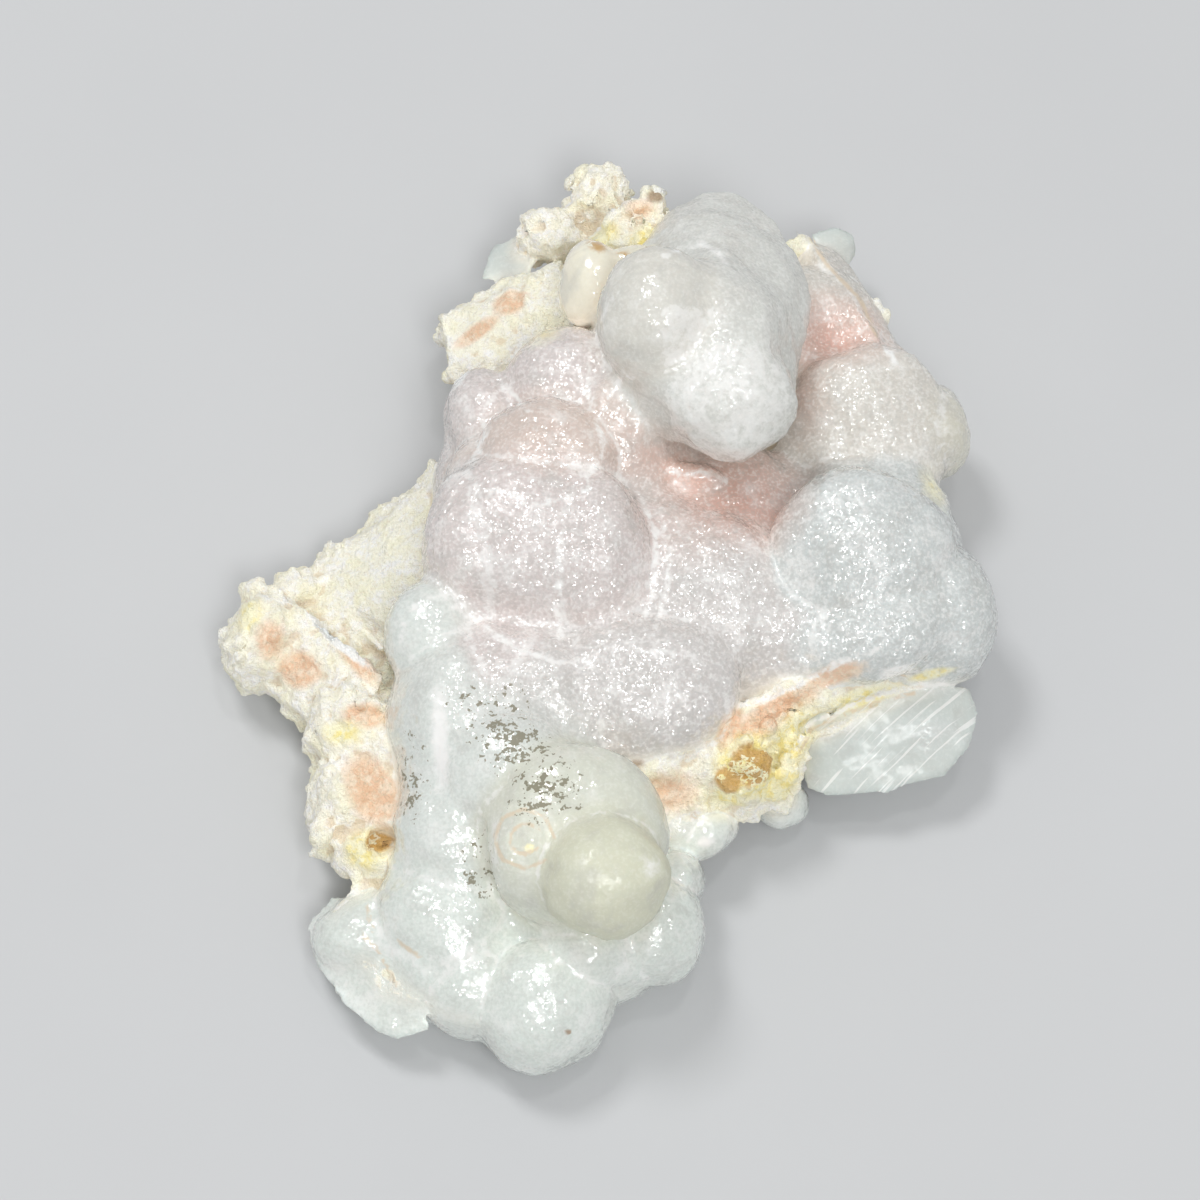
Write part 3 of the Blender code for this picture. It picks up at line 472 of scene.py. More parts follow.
RING_START, RING_END = 0.3, 0.4  # mm, half widths of the fades at a band of rings' edges
SKIN_SLACK, SKIN_FADE = 0.15, 0.5  # mm off a form within which a point has all of its skin, and the fade
FLOOR_FADE = 1.2  # mm, fade between the skins of the broad lobes
CREASE_WIDTH = 0.4  # mm
HOLLOW_PASSES = 24  # how widely the surroundings are smoothed
HOLLOW_RANGE = 0.5  # mm


def seen_at(across, up, height):
    """The point at that height above the table which shows at (across, up) in the view, in mm."""
    on_plane = AIM + across * VIEW_ACROSS + up * VIEW_UP
    share = (height - EYE.z) / (on_plane.z - EYE.z)
    return EYE + share * (on_plane - EYE)


def lobe_placement(place, radii, turn):
    spin = Matrix.Rotation(math.radians(turn), 3, "Z")
    axes = VIEW_AXES @ spin @ Matrix.Diagonal(Vector(radii))
    return Matrix.Translation(seen_at(*place)) @ axes.to_4x4()


class Forms:
    """Closed forms, gathered as points in mm and triangles."""

    balls = {}

    def __init__(self):
        self.points = []
        self.triangles = []
        self.count = 0

    def add(self, points, triangles):
        self.points.append(points)
        self.triangles.append(triangles + self.count)
        self.count += len(points)

    def add_mesh(self, mesh):
        mesh.calc_loop_triangles()
        triangles = np.empty(len(mesh.loop_triangles) * 3, np.int32)
        mesh.loop_triangles.foreach_get("vertices", triangles)
        self.add(vertex_array(mesh, "co"), triangles.reshape(-1, 3))

    def ball(self, placement, subdivisions=4):
        """Adds the unit ball, carried and stretched by placement."""
        if subdivisions not in Forms.balls:
            body = bmesh.new()
            bmesh.ops.create_icosphere(body, subdivisions=subdivisions, radius=1.0)
            Forms.balls[subdivisions] = arrays_of(body)
        points, triangles = Forms.balls[subdivisions]
        carry = np.array(placement)
        self.add(points @ carry[:3, :3].T + carry[:3, 3], triangles)

    def lobes(self, lobes, names=None):
        for name, (place, radii, turn, _) in lobes.items():
            if names is None or name in names:
                self.ball(lobe_placement(place, radii, turn))

    def hull(self, corners):
        body = bmesh.new()
        verts = [body.verts.new(corner) for corner in corners]
        hull = bmesh.ops.convex_hull(body, input=verts)
        spare = set(hull["geom_interior"]) | set(hull["geom_unused"])
        bmesh.ops.delete(body, geom=[v for v in verts if v in spare], context="VERTS")
        self.add(*arrays_of(body))

    def seen_hull(self, corners):
        self.hull([seen_at(*corner) for corner in corners])

    def block(self, bottom, top, ring):
        middle = sum((Vector(corner) for corner in ring), Vector((0.0, 0.0))) / len(ring)
        corners = []
        for share, height in ((BLOCK_BOTTOM, bottom), (1.0, bottom + WAIST_HEIGHT), (BLOCK_TOP, top)):
            for corner in ring:
                flat = middle + share * (Vector(corner) - middle)
                corners.append((flat.x, flat.y, height))
        self.hull(corners)

    def knobs(self, name, place, radii, turn, knob_radius, count):
        """Adds small balls over the side of a lobe that faces up and outwards."""
        chance = random.Random(name)
        placement = lobe_placement(place, radii, turn)
        for _ in range(count):
            side = Vector((chance.uniform(-1, 1), chance.uniform(-1, 1), chance.uniform(LOWEST_KNOB, 1)))
            direction = side.normalized()
            size = knob_radius * chance.uniform(*KNOB_SIZES)
            self.ball(Matrix.Translation(placement @ direction) @ Matrix.Scale(size, 4), subdivisions=3)

    def crumbs(self, surface, smooth, opal, matrix):
        """Adds small rounded crumbs where the surface is rough matrix."""
        chance = random.Random("crumbs")
        rough = [spot for spot, share in zip(surface, smooth) if share < SMOOTH_LIMIT]
        spots = [spot for spot in rough if spot.z > CRUMB_FLOOR]
        for _ in range(CRUMBS):
            spot = chance.choice(spots)
            while matrix.find_nearest(spot)[3] > opal.find_nearest(spot)[3]:
                spot = chance.choice(spots)
            turn = Matrix.Rotation(chance.uniform(0, math.tau), 4, "Z")
            turn @= Matrix.Rotation(chance.uniform(0, math.pi), 4, "X")
            size = Vector([chance.uniform(*CRUMB_RADII) for _ in range(3)])
            self.ball(Matrix.Translation(spot) @ turn @ Matrix.Diagonal(size).to_4x4(), subdivisions=1)

    def mesh(self):
        mesh = bpy.data.meshes.new("forms")
        mesh.from_pydata(np.concatenate(self.points), [], np.concatenate(self.triangles))
        return mesh

    def tree(self):
        points, triangles = np.concatenate(self.points), np.concatenate(self.triangles)
        return BVHTree.FromPolygons(points.tolist(), triangles.tolist())


def arrays_of(body):
    """The points and triangles of a bmesh, which is freed."""
    points = np.array([v.co for v in body.verts], np.float64)
    body.verts.index_update()
    triangles = np.array([[v.index for v in face.verts] for face in body.faces], np.int32)
    body.free()
    return points, triangles


def evaluated_mesh(guide):
    """The mesh that a helper object's modifiers make. The helper is removed."""
    graph = bpy.context.evaluated_depsgraph_get()
    mesh = bpy.data.meshes.new_from_object(guide.evaluated_get(graph))
    bpy.data.objects.remove(guide)
    return mesh


def helper(mesh):
    guide = bpy.data.objects.new("helper", mesh)
    bpy.context.scene.collection.objects.link(guide)
    return guide


def fused(forms, voxel, smoothing, rounding=0):
    """One closed mesh, in mm, of the closed forms, with its creases softened."""
    guide = helper(forms.mesh())
    remesh = guide.modifiers.new("fuse", "REMESH")
    remesh.mode = "VOXEL"
    remesh.voxel_size = voxel
    guide.modifiers.new("soften creases", "SMOOTH").iterations = smoothing
    if rounding:
        guide.modifiers.new("round", "SUBSURF").levels = rounding
    return evaluated_mesh(guide)


def thinned(mesh, triangles):
    """The mesh with at most that many triangles."""
    guide = helper(mesh)
    mesh.calc_loop_triangles()
    thin = guide.modifiers.new("thin", "DECIMATE")
    thin.ratio = triangles / len(mesh.loop_triangles)
    thin.use_collapse_triangulate = True
    return evaluated_mesh(guide)


def keep_outer_shell(mesh):
    """Removes the closed pockets that are left between the forms."""
    body = bmesh.new()
    body.from_mesh(mesh)
    unseen = set(body.verts)
    shells = []
    while unseen:
        shell = {unseen.pop()}
        edge = set(shell)
        while edge:
            edge = {e.other_vert(v) for v in edge for e in v.link_edges} & unseen
            unseen -= edge
            shell |= edge
        shells.append(shell)
    outer = max(shells, key=len)
    bmesh.ops.delete(body, geom=[v for v in body.verts if v not in outer], context="VERTS")
    body.to_mesh(mesh)
    body.free()


def floor_mesh():
    floor = Forms()
    floor.lobes(BROAD)
    return fused(floor, FLOOR_VOXEL, FLOOR_SMOOTHING, rounding=1)


def soft_mesh(floor):
    """The floor with the lobes that run softly into it."""
    soft = Forms()
    soft.add_mesh(floor)
    soft.lobes(CRISP, SOFT_LOBES)
    return fused(soft, SOFT_VOXEL, SOFT_SMOOTHING, rounding=1)


def crown_mesh():
    crown = Forms()
    crown.seen_hull(CROWN_RIM + CROWN_FACE + CROWN_BACK)
    crown.lobes(CRISP, CROWN_LOBES)
    return fused(crown, FLOOR_VOXEL, CROWN_SMOOTHING, rounding=1)


def opal_forms(soft, crown):
    forms = Forms()
    forms.add_mesh(soft)
    forms.add_mesh(crown)
    forms.lobes(CRISP, set(CRISP) - set(SOFT_LOBES) - set(CROWN_LOBES))
    for _, corners in GLASSY_CHIPS.values():
        forms.seen_hull(corners)
    return forms


def matrix_forms(rounded=True):
    """The crumbly blocks and angular pieces, and the rounded forms on them as well."""
    forms = Forms()
    for block in BLOCKS.values():
        forms.block(*block)
    if rounded:
        forms.lobes(MATRIX)
    for corners in MATRIX_CHIPS.values():
        forms.seen_hull(corners)
    if rounded:
        for name, cluster in KNOBS.items():
            forms.knobs(name, *cluster[:-1])
    return forms


def outside_by(tree, points):
    """How far each point lies outside the nearest face, in mm: less than 0 inside."""
    away = np.empty(len(points))
    for index, point in enumerate(points):
        place, normal, _, distance = tree.find_nearest(point)
        away[index] = distance if normal.dot(Vector(point) - place) > 0 else -distance
    return away


def share_of(points, placement):
    """Where each point lies from the lobe's centre, 0, to its surface, 1, and beyond."""
    inverse = np.array(placement.inverted())
    return np.linalg.norm(points @ inverse[:3, :3].T + inverse[:3, 3], axis=1)


def outside_lobe(points, placement):
    """Roughly how far each point lies outside the lobe, in mm, along the line from its centre."""
    share = share_of(points, placement).clip(TINY)
    return np.linalg.norm(points - np.array(placement.translation), axis=1) * (1 - 1 / share)


def smoothstep(low, high, values):
    share = ((values - low) / (high - low)).clip(0, 1)
    return share * share * (3 - 2 * share)


def vertex_array(mesh, what):
    values = np.empty(len(mesh.vertices) * 3, np.float32)
    mesh.vertices.foreach_get(what, values)
    return values.reshape(-1, 3).astype(np.float64)


def noise_at(points, length, octaves=1):
    """Noise from about -1 to 1 at each point, with features of that length in mm."""
    if octaves == 1:
        return np.array([noise.noise(Vector(point)) for point in points / length])
    return np.array([noise.fractal(Vector(point), 1.0, 2.0, octaves) for point in points / length])


def crumbliness(points, normals, opal, matrix):
    """1 on the matrix, fading to 0 on the opal. The broken back is rough as well."""
    nearer_by = np.array([opal.find_nearest(p)[3] - matrix.find_nearest(p)[3] for p in points])
    on_matrix = (0.5 + nearer_by / CRUMB_FADE).clip(0, 1)
    return np.maximum(on_matrix, BACK_CRUMB * (-normals[:, 2]).clip(0, 1))


def hollow_depth(points):
    depth = np.zeros(len(points))
    for place, radii, turn, deepest in HOLLOWS.values():
        share = share_of(points, lobe_placement(place, radii, turn)).clip(0, 1)
        depth += deepest * (1 - share**2) ** 2
    return depth


def ring_height(points, cad_tree):
    """Low concentric waves on the opal."""
    height = np.zeros(len(points))
    for middle, (start, end), spacing, depth in RINGS.values():
        away = np.linalg.norm(points - np.array(on_surface(cad_tree, middle)), axis=1)
        begun = smoothstep(start - RING_START, start + RING_START, away)
        ended = smoothstep(end - RING_END, end + RING_END, away)
        height += depth * begun * (1 - ended) * np.cos(math.tau * away / spacing)
    return height


def on_surface(tree, middle):
    """The point of the surface that shows at (across, up) in the view, in mm."""
    across, up = middle
    towards = (AIM + across * VIEW_ACROSS + up * VIEW_UP - EYE).normalized()
    return tree.ray_cast(EYE, towards)[0]


def roughen(mesh, opal, matrix, cad_tree):
    """Moves the surface: hollows, swell, crumb, knobbles, rings and a slight warp."""
    points = vertex_array(mesh, "co")
    normals = vertex_array(mesh, "normal")
    crumb = crumbliness(points, normals, opal, matrix)
    smooth = stain_at(points, cad_tree, SMOOTH_SPOTS).clip(0, 1)
    rough = crumb * (1 - SMOOTHNESS * smooth)
    move = -hollow_depth(points)
    move += SWELL * noise_at(points, SWELL_LENGTH)
    move += CRUMB * rough * noise_at(points, CRUMB_LENGTH, 3)
    move += FINE_CRUMB * rough * noise_at(points, FINE_CRUMB_LENGTH, 3)
    for depth, length in RIPPLES:
        move += depth * (1 - crumb) * (1 - 3 * np.abs(noise_at(points, length)))
    move += ring_height(points, cad_tree) * (1 - crumb)
    warp = np.column_stack([noise_at(points + shift, WARP_LENGTH) for shift in WARP_SHIFTS])
    points += normals * move[:, None] + WARP * warp
    points[:, 2] = points[:, 2].clip(0)
    mesh.vertices.foreach_set("co", points.astype(np.float32).ravel())
    mesh.update()


def tree_of_mesh(mesh):
    forms = Forms()
    forms.add_mesh(mesh)
    return forms.tree()


def blended(shares):
    """The mean look of skins, by the share that each has of each point."""
    total = 0.0
    weight = TINY
    for share, skin in shares:
        colour, druse, gloss = SKINS[skin]
        total = total + share[:, None] * np.array((*colour, druse, gloss))
        weight = weight + share
    return total / weight[:, None]


def skins_at(points, floor, crown):
    """Colour, druse and gloss at each point, from the forms it lies on, and how near it is to a crease."""
    crisp = []
    for place, radii, turn, skin in list(CRISP.values()) + list(MATRIX.values()):
        crisp.append((outside_lobe(points, lobe_placement(place, radii, turn)), skin))
    crisp.append((outside_by(tree_of_mesh(crown), points), "frost"))
    for skin, corners in GLASSY_CHIPS.values():
        chip = Forms()
        chip.seen_hull(corners)
        crisp.append((outside_by(chip.tree(), points), skin))
    crisp.append((outside_by(matrix_forms(rounded=False).tree(), points), "cream"))
    for skin in sorted({cluster[-1] for cluster in KNOBS.values()}):
        knobs = Forms()
        for name, cluster in KNOBS.items():
            if cluster[-1] == skin:
                knobs.knobs(name, *cluster[:-1])
        crisp.append((outside_by(knobs.tree(), points), skin))
    off = [((np.abs(away) - SKIN_SLACK).clip(0), skin) for away, skin in crisp]
    shares = [(np.exp(-((away / SKIN_FADE) ** 2)), skin) for away, skin in off]
    peak = np.max([share for share, _ in shares], axis=0)
    floor_shares = []
    for place, radii, turn, skin in BROAD.values():
        away = outside_lobe(points, lobe_placement(place, radii, turn)).clip(0)
        floor_shares.append((np.exp(-away / FLOOR_FADE) + TINY, skin))
    away = [away for away, _ in crisp] + [outside_by(tree_of_mesh(floor), points)]
    nearest = np.partition(np.stack(away), 1, axis=0)[:2]
    crease = np.exp(-(((nearest[1] - nearest[0]) / CREASE_WIDTH) ** 2))
    peak = peak[:, None]
    return peak * blended(shares) + (1 - peak) * blended(floor_shares), crease


def stain_at(points, tree, spots):
    """How strongly the spots stain each point: their strength in the middle, 0 at their edge."""
    field = np.zeros(len(points))
    for middle, (across, up), turn, strength in spots:
        spin = Matrix.Rotation(math.radians(turn), 3, "Z")
        deep = max(across, up)
        axes = VIEW_AXES @ spin @ Matrix.Diagonal(Vector((across, up, deep)))
        share = share_of(points, Matrix.Translation(on_surface(tree, middle)) @ axes.to_4x4())
        field = np.maximum(field, strength * (1 - share).clip(0))
    return field


def in_view(points):
    """Where each point shows in the view, as (across, up) in mm."""
    eye, aim, up = np.array(EYE), np.array(AIM), np.array(VIEW_UP)
    rays = points - eye
    towards = np.array(TOWARDS_VIEWER)
    on_plane = eye + rays * ((aim - eye) @ towards / (rays @ towards))[:, None] - aim
    return np.column_stack([on_plane[:, 0], on_plane @ up])


def stroke_nearness(points, normals, strokes):
    """1 on a stroke, falling to 0 at VEIN_REACH, on the sides that face the viewer."""
    seen = in_view(points)
    away = np.full(len(points), VEIN_REACH)
    for stroke in strokes.values():
        for start, end in zip(stroke, stroke[1:]):
            start, run = np.array(start), np.array(end) - np.array(start)
            along = ((seen - start) @ run / (run @ run)).clip(0, 1)
            away = np.minimum(away, np.linalg.norm(seen - start - along[:, None] * run, axis=1))
    facing = smoothstep(0.0, FACING, normals @ np.array(TOWARDS_VIEWER))
    return facing * (1 - away / VEIN_REACH)


def hollowness(mesh, points, normals):
    """0 to 1: how far each point lies below its smoothed surroundings, where the material paints shade into
    the matrix's colour.
    """
    ends = np.empty(len(mesh.edges) * 2, np.int32)
    mesh.edges.foreach_get("vertices", ends)
    a, b = ends.reshape(-1, 2).T
    count = np.bincount(ends, minlength=len(points))
    soft = points.copy()
    for _ in range(HOLLOW_PASSES):
        around = np.zeros_like(soft)
        for axis in range(3):
            around[:, axis] += np.bincount(a, soft[b, axis], len(points))
            around[:, axis] += np.bincount(b, soft[a, axis], len(points))
        soft = 0.5 * soft + 0.5 * around / count[:, None]
    below = ((soft - points) * normals).sum(1)
    return (0.5 + below / HOLLOW_RANGE).clip(0, 1)


def give_attribute(mesh, name, values):
    kind = "FLOAT_COLOR" if values.ndim == 2 else "FLOAT"
    attribute = mesh.attributes.new(name, kind, "POINT")
    if values.ndim == 2:
        values = np.column_stack([values, np.ones(len(values))])
    field = "color" if kind == "FLOAT_COLOR" else "value"
    attribute.data.foreach_set(field, values.astype(np.float32).ravel())


def make_stone():
    """The stone at full detail, in mm, with what its material reads as attributes."""
    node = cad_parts[STONE].data
    surface = [Vector(v.co) / MM + BOX_CENTRE for v in node.vertices]
    cad_tree = BVHTree.FromPolygons(surface, [tuple(p.vertices) for p in node.polygons])
    floor = floor_mesh()
    crown = crown_mesh()
    together = opal_forms(soft_mesh(floor), crown)
    opal = together.tree()
    matrix = matrix_forms().tree()
    rubble = matrix_forms()
    smooth = stain_at(np.array(surface), cad_tree, SMOOTH_SPOTS)
    rubble.crumbs(surface, smooth, opal, matrix)
    together.add_mesh(rubble.mesh())
    mesh = fused(together, FINE_VOXEL, FINE_SMOOTHING)
    keep_outer_shell(mesh)
    roughen(mesh, opal, matrix, cad_tree)
    mesh = thinned(mesh, TRIANGLES)
    points = vertex_array(mesh, "co")
    normals = vertex_array(mesh, "normal")
    fine_tree = tree_of_mesh(mesh)
    skins, crease = skins_at(points, floor, crown)
    fields = {
        "tint": skins[:, :3],
        "druse": skins[:, 3],
        "gloss": skins[:, 4],
        "crease": crease,
        "vein_and_highlight": stroke_nearness(points, normals, VEINS_AND_HIGHLIGHT),
        "crack_and_shadow": stroke_nearness(points, normals, CRACKS_AND_SHADOWS),
        "crumb": crumbliness(points, normals, opal, matrix),
        "hollow_shade": hollowness(mesh, points, normals),
    }
    fields |= {name: stain_at(points, fine_tree, spots) for name, spots in STAINS.items()}
    for name, values in fields.items():
        give_attribute(mesh, name, values)
    mesh.transform(Matrix.Scale(MM, 4) @ Matrix.Translation(-BOX_CENTRE))
    mesh.shade_smooth()
    stone = bpy.data.objects.new("stone", mesh)
    bpy.context.scene.collection.objects.link(stone)
    return stone


class Graph:
    """Short forms for the nodes of one material. Places are in mm."""

    def __init__(self, name):
        self.material = bpy.data.materials.new(name)
        self.material.use_nodes = True
        self.tree = self.material.node_tree
        self.shader = self.tree.nodes["Principled BSDF"]
        place = self.add("ShaderNodeTexCoord", {}).outputs["Object"]
        self.place = self.scaled(place, 1 / MM)

    def add(self, kind, inputs, **settings):
        node = self.tree.nodes.new(kind)
        for key, value in settings.items():
            setattr(node, key, value)
        for key, value in inputs.items():
            self.put(node.inputs[key], value)
        return node

    def put(self, socket, value):
        if isinstance(value, bpy.types.NodeSocket):
            self.tree.links.new(value, socket)
        else:
            socket.default_value = value

    def field(self, name, output="Fac"):
        return self.add("ShaderNodeAttribute", {}, attribute_name=name).outputs[output]

    def math(self, operation, a, b=0.0, clamp=False):
        return self.add("ShaderNodeMath", {0: a, 1: b}, operation=operation, use_clamp=clamp).outputs[0]

    def vector(self, operation, a, b=(0.0, 0.0, 0.0)):
        return self.add("ShaderNodeVectorMath", {0: a, 1: b}, operation=operation).outputs[0]

    def scaled(self, vector, scale):
        return self.add("ShaderNodeVectorMath", {0: vector, "Scale": scale}, operation="SCALE").outputs[0]

    def times(self, a, b):
        return self.math("MULTIPLY", a, b)

    def noise(self, length, detail, roughness=0.5, place=None):
        """Noise with features of that length, from about 0.2 to 0.8."""
        inputs = {
            "Vector": place or self.place, "Scale": 1 / length, "Detail": detail, "Roughness": roughness,
        }
        return self.add("ShaderNodeTexNoise", inputs).outputs["Fac"]

    def cells(self, length):
        """A colour for each cell of that size."""
        inputs = {"Vector": self.place, "Scale": 1 / length}
        return self.add("ShaderNodeTexVoronoi", inputs).outputs["Color"]

    def steps(self, value, low, high, to_low=0.0, to_high=1.0):
        inputs = {"Value": value, "From Min": low, "From Max": high, "To Min": to_low, "To Max": to_high}
        return self.add("ShaderNodeMapRange", inputs, interpolation_type="SMOOTHSTEP").outputs["Result"]

    def mix(self, factor, a, b):
        return self.add("ShaderNodeMix", {0: factor, 6: a, 7: b}, data_type="RGBA").outputs[2]

    def patchy(self, field, low, high, ragged, amount):
        """A field's area with an edge made irregular by the ragged noise."""
        shift = self.math("MULTIPLY_ADD", ragged, amount)
        shift.node.inputs[2].default_value = -0.5 * amount
        return self.steps(self.math("ADD", field, shift), low, high)

    def bump(self, height, distance):
        return self.add("ShaderNodeBump", {"Height": height, "Distance": distance * MM}).outputs["Normal"]


FACET, FLAKE = 0.3, 0.16  # mm, sizes of the druse's crystal faces
UNIFORM = {
    "Coat Roughness": 0.1,
    "Coat IOR": 1.8,
    "Subsurface Radius": (1.0, 0.8, 0.72),
    "Subsurface Scale": 2.5 * MM,
    "IOR": 1.45,
}

WHITE = (0.98, 0.98, 0.96, 1.0)
PINK = (0.73, 0.45, 0.37, 1.0)
PEACH = (0.84, 0.55, 0.36, 1.0)
PALE_PEACH = (0.94, 0.76, 0.58, 1.0)
YELLOW = (0.95, 0.84, 0.36, 1.0)
LEMON = (0.98, 0.95, 0.68, 1.0)
AMBER = (0.60, 0.34, 0.08, 1.0)
BROWN = (0.34, 0.21, 0.11, 1.0)
OLIVE = (0.21, 0.19, 0.12, 1.0)
CREAM = (0.97, 0.95, 0.81, 1.0)
TAN = (0.74, 0.61, 0.44, 1.0)
SHADE = (0.50, 0.50, 0.47, 1.0)


def opal_material():
    g = Graph("opal")
    grain = g.noise(0.26, 1.0, 0.6)
    ragged = g.noise(0.8, 3.0, 0.65)
    mottle = g.noise(2.4, 2.0, 0.6)
    druse = g.field("druse")
    gloss = g.field("gloss")
    hollow_shade = g.field("hollow_shade")
    crumb = g.patchy(g.field("crumb"), 0.42, 0.58, ragged, 0.5)
    opal = g.math("SUBTRACT", 1.0, crumb)

    colour = g.field("tint", "Color")
    pink = g.times(g.field("pink"), g.steps(mottle, 0.2, 0.7, 0.75, 1.0))
    colour = g.mix(pink, colour, PINK)
    veiled = g.times(g.steps(mottle, 0.5, 0.72, 0.0, 0.35), g.steps(gloss, 0.1, 0.6, 0.35, 1.0))
    veiled = g.times(veiled, g.steps(druse, 0.0, 0.5, 0.2, 1.0))
    colour = g.mix(veiled, colour, WHITE)
    colour = g.mix(g.steps(mottle, 0.5, 0.25, 0.0, 0.35), colour, SHADE)
    colour = g.mix(g.times(g.steps(ragged, 0.5, 0.72, 0.0, 0.35), druse), colour, WHITE)
    sugar = g.times(g.steps(grain, 0.5, 0.68), g.steps(druse, 0.0, 1.0, 0.1, 0.4))
    colour = g.mix(sugar, colour, WHITE)
    dull = g.times(g.steps(grain, 0.5, 0.34), g.steps(druse, 0.0, 1.0, 0.05, 0.3))
    colour = g.mix(dull, colour, SHADE)
    creases = g.times(g.field("crease"), ragged)
    colour = g.mix(g.steps(creases, 0.3, 0.55, 0.0, 0.5), colour, WHITE)

    rubble = g.mix(g.steps(ragged, 0.4, 0.68), CREAM, WHITE)
    rubble = g.mix(g.steps(mottle, 0.44, 0.68, 0.0, 0.5), rubble, LEMON)
    # painted shade: the matrix turns tan and darker where it lies below its surroundings, as shade falls in
    # recesses
    rubble = g.mix(g.steps(hollow_shade, 0.7, 1.0, 0.0, 0.65), rubble, TAN)
    rubble = g.mix(g.steps(grain, 0.45, 0.3, 0.0, 0.25), rubble, TAN)
    colour = g.mix(crumb, colour, rubble)
    peach = g.patchy(g.field("peach"), 0.12, 0.5, ragged, 0.6)
    blush = g.mix(g.steps(ragged, 0.42, 0.62), PEACH, PALE_PEACH)
    blush = g.mix(g.steps(grain, 0.5, 0.3, 0.0, 0.6), blush, TAN)
    colour = g.mix(g.times(peach, 0.9), colour, blush)
    yellow = g.patchy(g.field("yellow"), 0.05, 0.6, ragged, 0.4)
    colour = g.mix(yellow, colour, g.mix(g.steps(ragged, 0.36, 0.56), YELLOW, LEMON))
    # white chalky crusts, with a painted highlight down the ridge and a painted glow at the foot ball's
    # right side
    colour = g.mix(g.patchy(g.field("chalk_and_painted_light"), 0.2, 0.5, ragged, 0.4), colour, WHITE)
    # white veins, and a painted highlight along the hollow's ridge
    vein_and_highlight = g.patchy(g.field("vein_and_highlight"), 0.8, 1.0, ragged, 0.5)
    vein_and_highlight = g.times(vein_and_highlight, g.steps(mottle, 0.35, 0.6, 0.45, 1.0))
    colour = g.mix(vein_and_highlight, colour, WHITE)
    # dark cracks, and painted shadow lines beside the wall's fold and along the slab's upper edge
    crack_and_shadow = g.patchy(g.field("crack_and_shadow"), 0.86, 0.98, ragged, 0.25)
    colour = g.mix(g.times(crack_and_shadow, 0.75), colour, TAN)
    walls = g.math("ADD", g.times(mottle, 0.65), g.times(ragged, 0.35))
    comb = g.steps(g.math("ABSOLUTE", g.math("SUBTRACT", walls, 0.5)), 0.01, 0.03)
    amber = g.times(g.patchy(g.field("amber"), 0.2, 0.5, ragged, 0.5), comb)
    colour = g.mix(g.times(amber, 0.85), colour, AMBER)
    brown = g.patchy(g.field("brown"), 0.3, 0.7, ragged, 0.4)
    colour = g.mix(g.times(brown, 0.8), colour, BROWN)
    field = g.field("dirt")
    flecks = g.math("ADD", g.times(grain, 0.55), g.times(ragged, 0.9))
    flecks = g.math("ADD", flecks, g.times(field, 0.22))
    dirt = g.times(g.steps(flecks, 0.86, 0.93), g.steps(field, 0.0, 0.1))
    colour = g.mix(g.times(dirt, 0.85), colour, OLIVE)
    scored = g.add(
        "ShaderNodeMapping",
        {"Vector": g.place, "Rotation": (0.0, 0.0, math.radians(42)), "Scale": (9.0, 0.22, 2.0)},
        vector_type="TEXTURE",
    ).outputs[0]
    scratches = g.steps(g.noise(1.0, 1.0, place=scored), 0.6, 0.68)
    scratches = g.times(scratches, g.steps(g.field("scratched"), 0.0, 0.3))
    colour = g.mix(g.times(scratches, 0.6), colour, WHITE)
    g.put(g.shader.inputs["Base Color"], colour)

    rough = g.steps(gloss, 0.0, 1.0, 0.5, 0.24)
    rough = g.math("ADD", rough, g.times(crumb, 0.35))
    rough = g.math("ADD", rough, g.times(dirt, 0.3))
    g.put(g.shader.inputs["Roughness"], g.math("SUBTRACT", rough, g.times(amber, 0.4), clamp=True))

    snapped = g.vector("SNAP", g.place, (FLAKE,) * 3)
    flakes = g.add("ShaderNodeTexWhiteNoise", {"Vector": snapped}, noise_dimensions="3D").outputs["Color"]
    tilt = g.vector("SUBTRACT", g.vector("ADD", g.cells(FACET), flakes), (1.0, 1.0, 1.0))
    size = g.steps(g.times(druse, opal), 0.0, 1.0, 0.04, 0.45)
    facets = g.scaled(tilt, size)
    grit = g.times(g.field("crumb"), g.noise(0.45, 2.0, 0.75))
    wavy = g.times(g.noise(1.1, 1.0, 0.5), g.steps(druse, 0.0, 1.0, 0.12, 0.65))
    body = g.bump(g.math("ADD", grit, wavy), 0.45)
    g.put(g.shader.inputs["Normal"], body)
    g.put(g.shader.inputs["Coat Normal"], g.vector("NORMALIZE", g.vector("ADD", body, facets)))

    coat = g.times(g.steps(gloss, 0.0, 0.7, 0.2, 1.0), g.math("SUBTRACT", 1.0, dirt))
    g.put(g.shader.inputs["Coat Weight"], g.times(coat, g.steps(crumb, 0.0, 1.0, 1.0, 0.1)))
    g.put(g.shader.inputs["Subsurface Weight"], g.steps(crumb, 0.0, 1.0, 0.9, 0.4))
    for name, value in UNIFORM.items():
        g.shader.inputs[name].default_value = value
    g.shader.subsurface_method = "BURLEY"
    return g.material


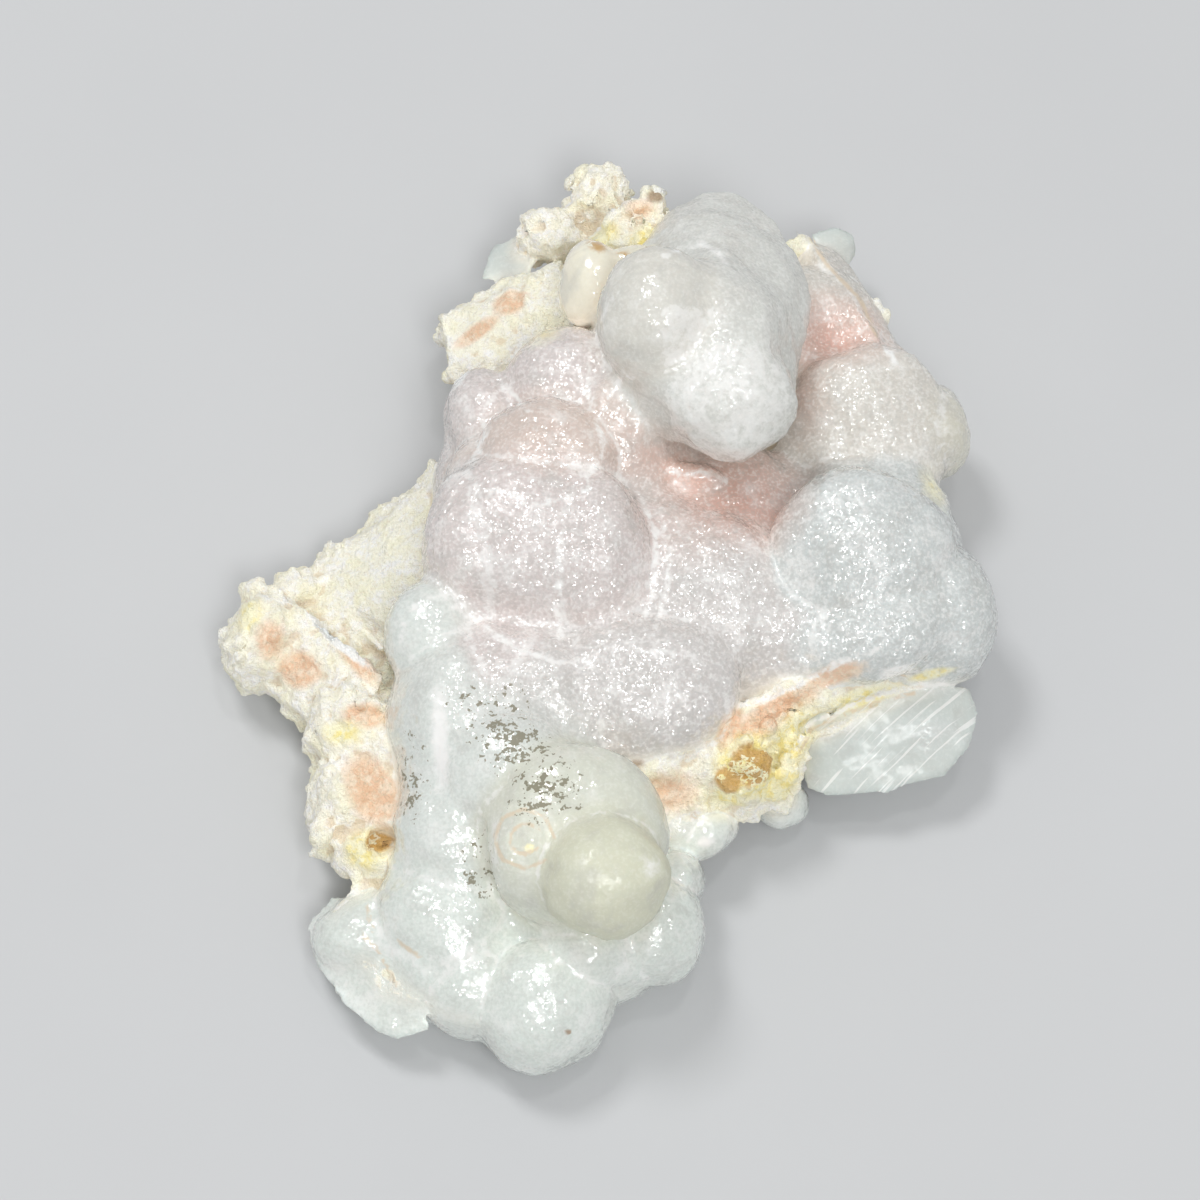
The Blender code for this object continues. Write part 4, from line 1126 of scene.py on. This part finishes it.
def floor_material():
    g = Graph("pale floor")
    grain = g.mix(g.noise(30.0, 3.0), (0.60, 0.61, 0.62, 1.0), (0.64, 0.65, 0.66, 1.0))
    g.put(g.shader.inputs["Base Color"], grain)
    g.shader.inputs["Roughness"].default_value = 0.8
    return g.material


def make_floor():
    bpy.ops.mesh.primitive_plane_add(size=4.0, location=(0, 0, -0.0001))
    floor = bpy.context.object
    floor.name = "floor"
    floor.data.materials.append(floor_material())


def add_softbox(name, towards, distance, size, power):
    """A square white light that shines on the stone from that direction."""
    light = bpy.data.lights.new(name, "AREA")
    light.size = size
    light.energy = power
    lamp = bpy.data.objects.new(name, light)
    direction = Vector(towards).normalized()
    lamp.location = direction * distance
    lamp.rotation_mode = "QUATERNION"
    lamp.rotation_quaternion = direction.to_track_quat("Z", "Y")
    bpy.context.scene.collection.objects.link(lamp)


def make_studio():
    add_softbox("key", (-0.28, 0.33, 0.9), 0.5, 0.12, 0.7)
    add_softbox("front", TOWARDS_VIEWER + Vector((0.16, -0.12, 0.0)), 0.6, 0.2, 1.15)
    add_softbox("glint", (0.15, 0.1, 0.98), 0.6, 0.05, 0.2)
    world = bpy.data.worlds.new("studio")
    bpy.context.scene.world = world
    world.use_nodes = True
    background = world.node_tree.nodes["Background"]
    background.inputs["Color"].default_value = (1.0, 1.0, 1.0, 1.0)
    background.inputs["Strength"].default_value = 0.45
    bpy.context.scene.view_settings.view_transform = "Standard"


def make_camera():
    camera = bpy.data.cameras.new("camera")
    camera.sensor_width = 36.0
    camera.lens = camera.sensor_width * VIEW_DISTANCE / VIEW_WIDTH
    camera.clip_start = 0.01
    holder = bpy.data.objects.new("camera", camera)
    holder.location = (EYE - BOX_CENTRE) * MM
    holder.rotation_mode = "QUATERNION"
    holder.rotation_quaternion = TOWARDS_VIEWER.to_track_quat("Z", "Y")
    bpy.context.scene.collection.objects.link(holder)
    bpy.context.scene.camera = holder


stone = make_stone()
stone.data.materials.clear()
stone.data.materials.append(opal_material())
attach(stone, "root")
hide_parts(STONE)
make_floor()
make_studio()
make_camera()
